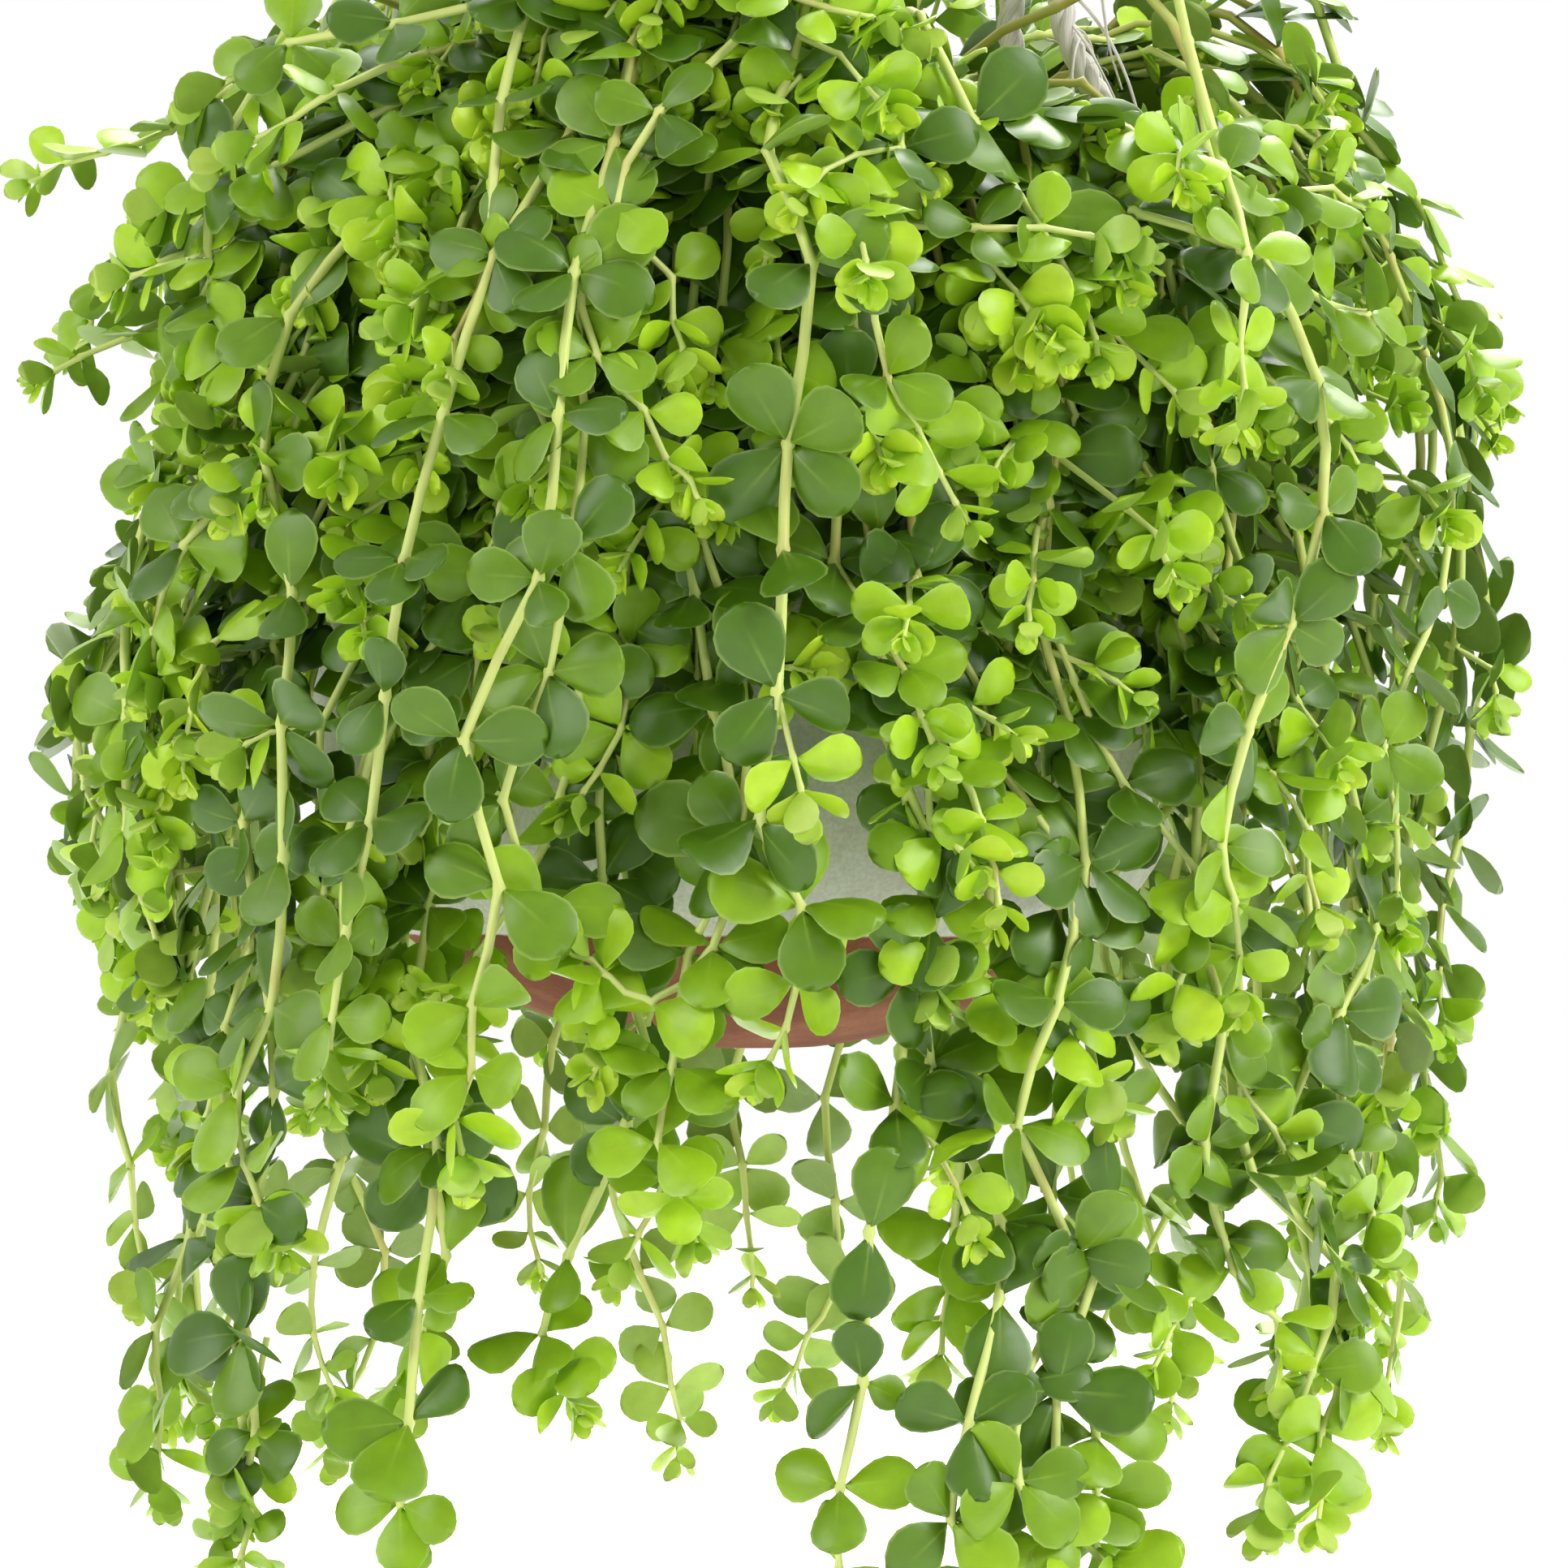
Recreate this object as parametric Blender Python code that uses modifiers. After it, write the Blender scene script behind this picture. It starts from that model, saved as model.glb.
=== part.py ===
"""Potted peperomia in a hanging pot: a dipped terracotta bowl on three tied ropes, filled with potting mix,
with trailing vines that rise from the mix, arch over the rim and hang down all round.

Run with: blender --background --python part.py
Metres, +Z up. The origin is the hanging point, on top of the hook that the rope loop hangs from.
"""

import math

import bmesh
import bpy
from mathutils import Matrix, Vector
from mathutils.bvhtree import BVHTree

# Pot, measured from its foot
POT_RADIUS = 0.112
POT_HEIGHT = 0.212
BOWL_HEIGHT = 0.076  # height of the rounded bottom, up to the straight wall
FOOT_RADIUS = 0.018  # flat foot
RIM_RADIUS = 0.109
POT_WALL = 0.007
TURNS = 32  # facets round every turned shape

# Potting mix
SOIL_TOP = POT_HEIGHT - 0.030
FIT_GAP = 0.0004  # between the mix and the pot's inner wall
SEAT_GAP = 0.0003  # between pieces that rest on each other

# Three ropes, each threaded through a hole below the rim and tied to itself above it
ROPE_RADIUS = 0.0035
ROPE_AZIMUTHS = {"right": -33.0, "back": 70.0, "left": 199.0}
HOLE_RADIUS = 0.006
HOLE_HEIGHT = POT_HEIGHT - 0.018
SLING_BEND = 0.014  # radius of the rope's turn through the hole
SLING_SEAT = 0.0012  # the turn lies this far above the hole's middle, because the pot hangs on it
KNOT_RADIUS = 0.009
KNOT_HEIGHT = POT_HEIGHT + 0.078
GATHER_HEIGHT = POT_HEIGHT + 0.400  # underside of the wrap that binds the three ropes
GATHER_RADIUS = 0.0047  # of the circle that the ropes' axes meet the wrap on
WRAP_RADIUS = 0.0098
WRAP_LENGTH = 0.034
LOOP_HEIGHT = 0.052
LOOP_WIDTH = 0.036
HOOK_HEIGHT = GATHER_HEIGHT + WRAP_LENGTH + SEAT_GAP + LOOP_HEIGHT - ROPE_RADIUS

# Vines
STEM_RADIUS = 0.0017
TIP_RADIUS = 0.0011
ROUTE_POINTS = 60  # on a vine's smooth centreline
STEM_SPACING = 0.036  # between the points of a stem
STEM_RISE = 0.010  # straight up out of the mix
NODE_LENGTH = 0.0022  # length of stem that carries a whorl of leaves
WHORL_SPACING = 0.078
LEAF_LENGTH = 0.0165
LEAF_WIDTH = 0.0130
LEAF_THICKNESS = 0.0018
LEAF_SECTIONS = ((0.60, 1.0, 1.0), (1.0, 0.45, 0.55))  # shares of length, width and thickness, from shoulder to tip
LEAF_LEAN = math.radians(18)  # from square to the stem, towards the vine's tip
LEAF_TWIST = math.radians(50)  # most that a leaf turns its face to the light
LEAF_CLEARANCE = 0.0012
ROPE_BERTH = 9.0  # degrees that a vine keeps from a rope

# Each family of vines: its number, the azimuth of its first vine, and its route as (radius, height above the rim)
# for the least and the greatest vine of the family. A route starts in the potting mix.
FAMILIES = {
    "skirt": {
        "count": 12,
        "first": -96.0,
        "route": [
            ((0.076, SOIL_TOP - POT_HEIGHT), (0.084, SOIL_TOP - POT_HEIGHT)),
            ((0.092, 0.006), (0.098, 0.016)),
            ((0.124, 0.000), (0.134, 0.008)),
            ((0.134, -0.080), (0.150, -0.092)),
            ((0.134, -0.180), (0.164, -0.192)),
            ((0.126, -0.276), (0.176, -0.322)),
        ],
    },
    "cascade": {
        "count": 9,
        "first": -80.0,
        "route": [
            ((0.046, SOIL_TOP - POT_HEIGHT), (0.056, SOIL_TOP - POT_HEIGHT)),
            ((0.074, 0.030), (0.084, 0.044)),
            ((0.128, 0.036), (0.142, 0.050)),
            ((0.166, -0.030), (0.180, -0.020)),
            ((0.178, -0.120), (0.196, -0.110)),
            ((0.180, -0.190), (0.200, -0.262)),
        ],
    },
    "spray": {
        "count": 7,
        "first": -101.0,
        "route": [
            ((0.016, SOIL_TOP - POT_HEIGHT), (0.026, SOIL_TOP - POT_HEIGHT)),
            ((0.040, 0.050), (0.050, 0.066)),
            ((0.092, 0.074), (0.104, 0.092)),
            ((0.150, 0.058), (0.164, 0.078)),
            ((0.192, -0.004), (0.202, 0.030)),
            ((0.198, -0.076), (0.206, -0.030)),
        ],
    },
}
SWAY = 9.0  # degrees that a vine's tip may swing sideways from its root
SPREADS = (0.6180339887, 0.7548776662, 0.5698402910, 0.8191725134, 0.4142135624, 0.7320508076)

GREEN = ("leaf_green", (0.10, 0.27, 0.03), 0.42)
CLAY = ("whitewashed_terracotta", (0.62, 0.55, 0.50), 0.85)
MIX = ("potting_mix", (0.045, 0.028, 0.018), 0.95)
COTTON = ("cotton_rope", (0.80, 0.78, 0.73), 0.90)


def clear_scene():
    for obj in list(bpy.data.objects):
        bpy.data.objects.remove(obj, do_unlink=True)


def collection(name):
    made = bpy.data.collections.new(name)
    bpy.context.scene.collection.children.link(made)
    return made


def material(finish):
    name, colour, roughness = finish
    made = bpy.data.materials.get(name) or bpy.data.materials.new(name)
    made.use_nodes = True
    shader = made.node_tree.nodes["Principled BSDF"]
    shader.inputs["Base Color"].default_value = (*colour, 1)
    shader.inputs["Roughness"].default_value = roughness
    shader.inputs["Metallic"].default_value = 0
    return made


def add(name, data, finish, home, datum):
    """An object named name in the home collection, parented to the datum empty."""
    obj = bpy.data.objects.new(name, data)
    home.objects.link(obj)
    obj.parent = datum
    data.materials.append(material(finish))
    return obj


def hide(obj):
    """Marks a helper that only cuts or joins."""
    obj.hide_render = True
    obj.display_type = "WIRE"


def polar(radius, azimuth, height):
    """The point at that radius, azimuth in degrees and height."""
    angle = math.radians(azimuth)
    return Vector((radius * math.cos(angle), radius * math.sin(angle), height))


def turned(name, profile, finish, home, datum):
    """A solid of revolution of (radius, height) points, which run down its outer side."""
    mesh = bpy.data.meshes.new(name)
    mesh.from_pydata([(r, 0, z) for r, z in profile], [(i, i + 1) for i in range(len(profile) - 1)], [])
    obj = add(name, mesh, finish, home, datum)
    screw = obj.modifiers.new("Turn", "SCREW")
    screw.steps = screw.render_steps = TURNS
    screw.use_merge_vertices = True
    screw.merge_threshold = 0.0001
    screw.use_smooth_shade = True
    return obj


def arc(centre, radii, start, end, count):
    """Points on an ellipse's arc in the (radius, height) plane, with angles in degrees from the outward axis."""
    angles = [math.radians(start + (end - start) * i / (count - 1)) for i in range(count)]
    return [(centre[0] + radii[0] * math.cos(a), centre[1] + radii[1] * math.sin(a)) for a in angles]


def inner_wall(offset):
    """The pot's inner profile from the axis up to the belly, moved inwards by offset."""
    radius, height = POT_RADIUS - POT_WALL - offset, BOWL_HEIGHT - POT_WALL - offset
    return [(max(r, 0), z) for r, z in arc((0, BOWL_HEIGHT), (radius, height), -90, 0, 8)]


def inner_radius(height):
    """The inner radius of the straight wall at a height above the foot."""
    rise = (height - BOWL_HEIGHT) / (POT_HEIGHT - POT_WALL / 2 - BOWL_HEIGHT)
    return POT_RADIUS - POT_WALL - (POT_RADIUS - RIM_RADIUS) * rise


def make_pot(home, cutters, datum):
    half = POT_WALL / 2
    lip = arc((RIM_RADIUS - half, POT_HEIGHT - half), (half, half), 180, 0, 5)
    foot_angle = -math.degrees(math.acos(FOOT_RADIUS / POT_RADIUS))
    drop = BOWL_HEIGHT / math.sin(math.radians(-foot_angle))
    bowl = arc((0, BOWL_HEIGHT), (POT_RADIUS, drop), 0, foot_angle, 8)
    pot = turned("pot", inner_wall(0) + lip + bowl + [(0, 0)], CLAY, home, datum)
    for side, azimuth in ROPE_AZIMUTHS.items():
        cutter = hole_cutter(side, azimuth, cutters, datum)
        cut = pot.modifiers.new("Hole " + side, "BOOLEAN")
        cut.operation = "DIFFERENCE"
        cut.object = cutter
    return pot


def hole_cutter(side, azimuth, cutters, datum):
    """A rod that pierces the wall where a rope goes through."""
    shape = bmesh.new()
    bmesh.ops.create_cone(
        shape, cap_ends=True, segments=14, radius1=HOLE_RADIUS, radius2=HOLE_RADIUS, depth=POT_WALL * 5
    )
    mesh = bpy.data.meshes.new("hole_cutter_" + side)
    shape.to_mesh(mesh)
    shape.free()
    cutter = add(mesh.name, mesh, CLAY, cutters, datum)
    cutter.location = polar(RIM_RADIUS - POT_WALL / 2, azimuth, HOLE_HEIGHT)
    cutter.rotation_euler = (0, math.radians(90), math.radians(azimuth))
    hide(cutter)
    return cutter


def make_soil(home, datum):
    top = inner_radius(SOIL_TOP) - FIT_GAP
    profile = [(0, SOIL_TOP), (top, SOIL_TOP)] + inner_wall(FIT_GAP)[::-1]
    return turned("potting_mix", profile, MIX, home, datum)


def smooth(points, count):
    """That many points, evenly spaced along a Catmull-Rom curve through the given ones."""
    ends = [2 * points[0] - points[1]] + list(points) + [2 * points[-1] - points[-2]]
    fine = []
    for a, b, c, d in zip(ends, ends[1:], ends[2:], ends[3:]):
        for k in range(24):
            t = k / 24
            fine.append(
                0.5 * (2 * b + (c - a) * t + (2 * a - 5 * b + 4 * c - d) * t**2 + (3 * b - 3 * c + d - a) * t**3)
            )
    fine.append(points[-1].copy())
    return [along_route(fine, length_of(fine) * i / (count - 1))[0] for i in range(count)]


def length_of(points):
    return sum((b - a).length for a, b in zip(points, points[1:]))


def along_route(points, distance):
    """The place and direction that far along a route."""
    for a, b in zip(points, points[1:]):
        step = (b - a).length
        if distance <= step:
            return a.lerp(b, distance / step), (b - a).normalized()
        distance -= step
    return points[-1].copy(), (points[-1] - points[-2]).normalized()


def tube(name, points, radii, sides_resolution, finish, home, datum):
    """A curve object along the points, with a radius in metres for each."""
    curve = bpy.data.curves.new(name, "CURVE")
    curve.dimensions = "3D"
    curve.bevel_depth = radii[0]
    curve.bevel_resolution = sides_resolution
    curve.use_fill_caps = True
    spline = curve.splines.new("POLY")
    spline.points.add(len(points) - 1)
    for target, point, radius in zip(spline.points, points, radii):
        target.co = (*point, 1)
        target.radius = radius / radii[0]
    return add(name, curve, finish, home, datum)


def rope(name, points, home, datum):
    return tube(name, points, [ROPE_RADIUS] * len(points), 2, COTTON, home, datum)


def rope_axis(height):
    """Radius of the straight pull from the rim to the gathering wrap, at a height above the foot."""
    rise = (height - POT_HEIGHT) / (GATHER_HEIGHT - POT_HEIGHT)
    middle = RIM_RADIUS - POT_WALL / 2
    return middle + (GATHER_RADIUS - middle) * rise


def make_sling(side, azimuth, home, datum):
    """The rope below the knot: down inside the wall, out through the hole and up outside the rim."""
    centre = (RIM_RADIUS - POT_WALL / 2, HOLE_HEIGHT + SLING_SEAT + SLING_BEND)
    turn = arc(centre, (SLING_BEND, SLING_BEND), 190, 350, 9)
    knot, under = rope_axis(KNOT_HEIGHT), KNOT_HEIGHT - KNOT_RADIUS - SEAT_GAP
    strand = [(ROPE_RADIUS * 1.3, under), (ROPE_RADIUS * 1.6, under - 0.012), (ROPE_RADIUS * 2.4, under - 0.032)]
    inner = [(knot - apart, z) for apart, z in strand]
    outer = [(knot + apart, z) for apart, z in reversed(strand)]
    return rope(f"rope_{side}_sling", [polar(r, azimuth, z) for r, z in inner + turn + outer], home, datum)


def make_knot(side, azimuth, home, datum):
    shape = bmesh.new()
    bmesh.ops.create_uvsphere(shape, u_segments=12, v_segments=8, radius=KNOT_RADIUS)
    mesh = bpy.data.meshes.new(f"rope_{side}_knot")
    shape.to_mesh(mesh)
    shape.free()
    knot = add(mesh.name, mesh, COTTON, home, datum)
    knot.location = polar(rope_axis(KNOT_HEIGHT), azimuth, KNOT_HEIGHT)
    return knot


def make_riser(side, azimuth, home, datum):
    """The rope from its knot up to the wrap, where the three ropes run side by side."""
    knot = polar(rope_axis(KNOT_HEIGHT), azimuth, KNOT_HEIGHT)
    top = polar(GATHER_RADIUS, azimuth, GATHER_HEIGHT - SEAT_GAP)
    turn = [top - Vector((0, 0, 0.010)), polar(GATHER_RADIUS * 1.25, azimuth, GATHER_HEIGHT - 0.018)]
    bend = polar(GATHER_RADIUS * 1.9, azimuth, GATHER_HEIGHT - 0.030)
    start = knot + (bend - knot).normalized() * (KNOT_RADIUS + SEAT_GAP)
    route = [start.lerp(bend, share) for share in (0, 0.25, 0.5, 0.75, 1)] + turn[::-1] + [top]
    return rope(f"rope_{side}_riser", route, home, datum)


def make_wrap(home, datum):
    shape = bmesh.new()
    bmesh.ops.create_cone(
        shape, cap_ends=True, segments=20, radius1=WRAP_RADIUS, radius2=WRAP_RADIUS, depth=WRAP_LENGTH
    )
    mesh = bpy.data.meshes.new("gathering_wrap")
    shape.to_mesh(mesh)
    shape.free()
    wrap = add(mesh.name, mesh, COTTON, home, datum)
    wrap.location = (0, 0, GATHER_HEIGHT + WRAP_LENGTH / 2)
    bevel = wrap.modifiers.new("Rounded ends", "BEVEL")
    bevel.width = 0.0012
    bevel.segments = 2
    return wrap


def make_loop(home, datum):
    """The rope eye above the wrap that goes over the hook."""
    low, wide = GATHER_HEIGHT + WRAP_LENGTH + SEAT_GAP, LOOP_WIDTH / 2
    round_top = low + LOOP_HEIGHT - wide
    foot = ROPE_RADIUS * 1.2
    half = [(foot, low), (foot, low + 0.008), (foot + 0.003, low + 0.017)]
    over = arc((0, round_top), (wide, wide), -12, 192, 9)
    route = half + over + [(-x, z) for x, z in half[::-1]]
    return rope("hanging_loop", smooth([Vector((x, 0, z)) for x, z in route], 22), home, datum)


def share(vine, number):
    """A value from 0 to 1 for one trait of a vine, spread evenly over the vines."""
    return (0.5 + (vine + 1) * SPREADS[number]) % 1


def clear_of_ropes(azimuth):
    """The azimuth, moved aside where a vine would run into a rope."""
    for rope_azimuth in ROPE_AZIMUTHS.values():
        off = (azimuth - rope_azimuth + 180) % 360 - 180
        if abs(off) < ROPE_BERTH:
            return rope_azimuth + math.copysign(ROPE_BERTH, off)
    return azimuth


def vine_routes():
    """The centreline of every vine, by name."""
    routes = {}
    for family, plan in FAMILIES.items():
        for i in range(plan["count"]):
            root = clear_of_ropes(plan["first"] + 360 * (i + 0.3 * (share(i, 0) - 0.5)) / plan["count"])
            sway = SWAY * (2 * share(i, 1) - 1)
            stations = []
            for k, (least, most) in enumerate(plan["route"]):
                reach = share(i, 2 + k % 4)
                along = k / (len(plan["route"]) - 1)
                radius = least[0] + (most[0] - least[0]) * reach
                height = POT_HEIGHT + least[1] + (most[1] - least[1]) * reach
                stations.append(polar(radius, root + sway * along**2, height))
            stations[0].z += SEAT_GAP
            stations.insert(1, stations[0] + Vector((0, 0, STEM_RISE)))
            routes[f"{family}_vine_{i + 1:02d}"] = smooth(stations, ROUTE_POINTS)
    return routes


def stem_marks(long):
    """Distances along a stem of its plain points, and of the middles of its whorls."""
    whorls = [long - 0.004 - w * WHORL_SPACING for w in range(int((long - 0.034) / WHORL_SPACING) + 1)]
    steps = max(3, round((long - STEM_RISE) / STEM_SPACING))
    plain = [STEM_RISE + (long - STEM_RISE) * i / steps for i in range(steps)]
    clear = [mark for mark in plain if all(abs(mark - whorl) > STEM_SPACING * 0.3 for whorl in whorls)]
    return [0.0, *clear, long], whorls


def stem_mesh(name, points, home, datum):
    """The stem's tube as a welded mesh object, with a short stretch of its own for each whorl."""
    long = length_of(points)
    plain, whorls = stem_marks(long)
    half = NODE_LENGTH / 2
    marks = sorted(plain + [whorl + end for whorl in whorls for end in (-half, half)])
    radii = [STEM_RADIUS + (TIP_RADIUS - STEM_RADIUS) * mark / long for mark in marks]
    guide = tube(name + "_guide", [along_route(points, mark)[0] for mark in marks], radii, 0, GREEN, home, datum)
    graph = bpy.context.evaluated_depsgraph_get()
    mesh = bpy.data.meshes.new_from_object(guide.evaluated_get(graph))
    mesh.name = name
    shape = bmesh.new()
    shape.from_mesh(mesh)
    bmesh.ops.remove_doubles(shape, verts=shape.verts, dist=0.00005)
    shape.to_mesh(mesh)
    shape.free()
    curve = guide.data
    bpy.data.objects.remove(guide, do_unlink=True)
    bpy.data.curves.remove(curve)
    mesh.materials.clear()
    return add(name, mesh, GREEN, home, datum)


def leaf_frame(face, place, along):
    """A leaf's base, its reach, width and thickness directions, and the latter two before it turns to the light."""
    reach = (face.normal * math.cos(LEAF_LEAN) + along * math.sin(LEAF_LEAN)).normalized()
    across = along.cross(reach).normalized()
    thick = reach.cross(across).normalized()
    light = Vector((place.x, place.y, 0)).normalized() + Vector((0, 0, 0.7))
    twist = math.atan2(light.dot(across), abs(light.dot(thick)))
    twist = max(-LEAF_TWIST, min(LEAF_TWIST, -twist if light.dot(thick) > 0 else twist))
    turned_frame = Matrix.Rotation(twist, 3, reach)
    return face.calc_center_median(), reach, turned_frame @ across, turned_frame @ thick, across, thick


def leaf_room(frame):
    """The box that a leaf needs, as a search tree."""
    base, reach, across, thick = frame[:4]
    size = (LEAF_LENGTH * 0.8, LEAF_WIDTH, LEAF_THICKNESS)
    middle = base + reach * LEAF_LENGTH * 0.64
    sides = [axis * (s + 2 * LEAF_CLEARANCE) for axis, s in zip((reach, across, thick), size)]
    box = bmesh.new()
    bmesh.ops.create_cube(box, size=1, matrix=Matrix.Translation(middle) @ Matrix(sides).transposed().to_4x4())
    tree = BVHTree.FromBMesh(box)
    box.free()
    return tree


def grow_leaf(shape, face, frame):
    """Draws a leaf out of a face of the stem, in two sections: broad at its shoulder, narrow at its tip."""
    base, reach, across, thick, flat_across, flat_thick = frame
    for length, width, thickness in LEAF_SECTIONS:
        middle = face.calc_center_median()
        signs = [
            (math.copysign(1, (v.co - middle).dot(flat_across)), math.copysign(1, (v.co - middle).dot(flat_thick)))
            for v in face.verts
        ]
        face = bmesh.ops.extrude_discrete_faces(shape, faces=[face])["faces"][0]
        centre = base + reach * LEAF_LENGTH * length
        for vertex, (a, t) in zip(face.verts, signs):
            side = across * a * LEAF_WIDTH * width / 2
            vertex.co = centre + side + thick * t * LEAF_THICKNESS * thickness / 2
        flat_across, flat_thick = across, thick


def tree_of(obj):
    """A search tree of an object's evaluated surface, in the pot's own coordinates."""
    graph = bpy.context.evaluated_depsgraph_get()
    mesh = bpy.data.meshes.new_from_object(obj.evaluated_get(graph))
    mesh.transform(obj.matrix_basis)
    tree = BVHTree.FromPolygons([v.co for v in mesh.vertices], [p.vertices[:] for p in mesh.polygons])
    bpy.data.meshes.remove(mesh)
    return tree


def leaf_faces(shape, place, along):
    """The stem's faces round a whorl's middle that bear its leaves: all but the one that looks at the pot."""
    ring = sorted(shape.faces, key=lambda face: (face.calc_center_median() - place).length)[:4]
    inward = Vector((-place.x, -place.y, 0)).normalized() - Vector((0, 0, 0.5))
    return sorted(ring, key=lambda face: face.normal.dot(inward))[:3]


def make_vines(fixed, home, datum):
    """Grows the vines one after another. A leaf that has no room beside its neighbours isn't grown."""
    routes = vine_routes()
    stems = {name: stem_mesh(name, points, home, datum) for name, points in routes.items()}
    bpy.context.view_layer.update()
    stem_trees = {name: tree_of(stem) for name, stem in stems.items()}
    standing = [tree_of(obj) for obj in fixed]
    taken = []
    for name, points in routes.items():
        others = standing + [tree for stem, tree in stem_trees.items() if stem != name]
        shape = bmesh.new()
        shape.from_mesh(stems[name].data)
        shape.normal_update()
        for mark in stem_marks(length_of(points))[1]:
            place, along = along_route(points, mark)
            whorl = []
            for face in leaf_faces(shape, place, along):
                frame = leaf_frame(face, place, along)
                room = leaf_room(frame)
                if not any(room.overlap(other) for other in others + taken):
                    grow_leaf(shape, face, frame)
                    whorl.append(room)
            taken += whorl
        bmesh.ops.recalc_face_normals(shape, faces=shape.faces)
        shape.to_mesh(stems[name].data)
        shape.free()


def main():
    clear_scene()
    home, cutters = collection("potted_peperomia"), collection("cutters")
    datum = bpy.data.objects.new("pot_foot_datum", None)
    datum.location = (0, 0, -HOOK_HEIGHT)
    home.objects.link(datum)
    fixed = [make_pot(home, cutters, datum), make_soil(home, datum)]
    for side, azimuth in ROPE_AZIMUTHS.items():
        fixed += [make(side, azimuth, home, datum) for make in (make_sling, make_knot, make_riser)]
    make_wrap(home, datum)
    make_loop(home, datum)
    bpy.context.view_layer.update()
    make_vines(fixed, home, datum)


main()
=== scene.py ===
import math
import random

import bmesh
import bpy
from mathutils import Matrix, Vector


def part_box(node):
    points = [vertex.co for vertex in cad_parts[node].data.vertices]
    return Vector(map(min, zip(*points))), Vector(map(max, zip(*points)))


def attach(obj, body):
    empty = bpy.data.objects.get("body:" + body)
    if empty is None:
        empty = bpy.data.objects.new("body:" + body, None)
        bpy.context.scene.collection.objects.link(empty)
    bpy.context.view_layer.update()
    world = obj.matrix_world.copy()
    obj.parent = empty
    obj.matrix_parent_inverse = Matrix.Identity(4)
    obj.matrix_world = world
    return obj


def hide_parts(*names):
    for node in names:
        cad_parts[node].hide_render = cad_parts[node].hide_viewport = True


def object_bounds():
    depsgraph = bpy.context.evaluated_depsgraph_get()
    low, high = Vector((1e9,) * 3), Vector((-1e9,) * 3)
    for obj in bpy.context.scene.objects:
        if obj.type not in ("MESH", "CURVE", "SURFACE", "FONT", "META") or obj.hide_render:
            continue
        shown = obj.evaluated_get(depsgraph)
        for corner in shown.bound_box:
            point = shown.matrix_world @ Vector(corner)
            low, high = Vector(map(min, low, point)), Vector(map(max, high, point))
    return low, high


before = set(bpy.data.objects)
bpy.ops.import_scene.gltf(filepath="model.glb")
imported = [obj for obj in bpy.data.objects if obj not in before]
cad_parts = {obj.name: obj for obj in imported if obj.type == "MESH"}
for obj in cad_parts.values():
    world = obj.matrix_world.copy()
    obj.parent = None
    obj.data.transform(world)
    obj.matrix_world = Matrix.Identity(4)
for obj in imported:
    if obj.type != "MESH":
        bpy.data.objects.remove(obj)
cadBox = [list(corner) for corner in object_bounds()]

potLow, potHigh = (Vector(corner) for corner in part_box("pot"))
footZ, rimZ = potLow.z, potHigh.z
potRadius = (potHigh.x - potLow.x) / 2
print("frame: pot", round(potRadius * 2000), "mm across,", round((rimZ - footZ) * 1000), "mm high")


# small tools

def hexColour(text):
    # an sRGB hex value as the linear colour that a shader takes
    parts = [int(text[i:i + 2], 16) / 255 for i in (1, 3, 5)]
    return tuple(c / 12.92 if c <= 0.04045 else ((c + 0.055) / 1.055) ** 2.4 for c in parts) + (1.0,)


def addNode(tree, kind, settings=None, inputs=None):
    # a node with its settings; an input that is given a socket is linked to it
    node = tree.nodes.new(kind)
    for key, value in (settings or {}).items():
        setattr(node, key, value)
    for key, value in (inputs or {}).items():
        if isinstance(value, bpy.types.NodeSocket):
            tree.links.new(value, node.inputs[key])
        else:
            node.inputs[key].default_value = value
    return node


def polar(radius, azimuth, z):
    angle = math.radians(azimuth)
    return Vector((radius * math.cos(angle), radius * math.sin(angle), z))


def marksAlong(points):
    # how far along a route each of its points lies
    marks = [0.0]
    for a, b in zip(points, points[1:]):
        marks.append(marks[-1] + (b - a).length)
    return marks


def alongRoute(points, distance):
    for a, b in zip(points, points[1:]):
        step = (b - a).length
        if distance <= step:
            return a.lerp(b, distance / step)
        distance -= step
    return points[-1].copy()


def smoothRoute(points, count):
    # evenly spaced points on a Catmull-Rom curve through the given ones
    ends = [2 * points[0] - points[1]] + list(points) + [2 * points[-1] - points[-2]]
    fine, steps = [], 24
    for a, b, c, d in zip(ends, ends[1:], ends[2:], ends[3:]):
        for k in range(steps):
            t = k / steps
            fine.append(0.5 * (2 * b + (c - a) * t + (2 * a - 5 * b + 4 * c - d) * t ** 2
                               + (3 * b - 3 * c + d - a) * t ** 3))
    fine.append(points[-1].copy())
    marks = marksAlong(fine)
    route, k = [], 0
    for i in range(count):
        at = marks[-1] * i / (count - 1)
        while k < len(fine) - 2 and marks[k + 1] < at:
            k += 1
        route.append(fine[k].lerp(fine[k + 1], (at - marks[k]) / max(marks[k + 1] - marks[k], 1e-9)))
    return route


def boxOf(name):
    return [Vector(corner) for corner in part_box(name)]


def meshFrom(name, shape):
    mesh = bpy.data.meshes.new(name)
    shape.to_mesh(mesh)
    shape.free()
    return mesh


def pieceFrom(name, mesh):
    obj = bpy.data.objects.new(name, mesh)
    bpy.context.scene.collection.objects.link(obj)
    return obj


def intoFrame(piece, standsFor=None):
    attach(piece, "root")
    if standsFor:
        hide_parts(standsFor)
    return piece


def plainMesh(obj):
    # bakes an object's modifiers into its mesh and takes them off
    graph = bpy.context.evaluated_depsgraph_get()
    baked = bpy.data.meshes.new_from_object(obj.evaluated_get(graph))
    baked.name = obj.name
    obj.modifiers.clear()
    obj.data = baked


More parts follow.
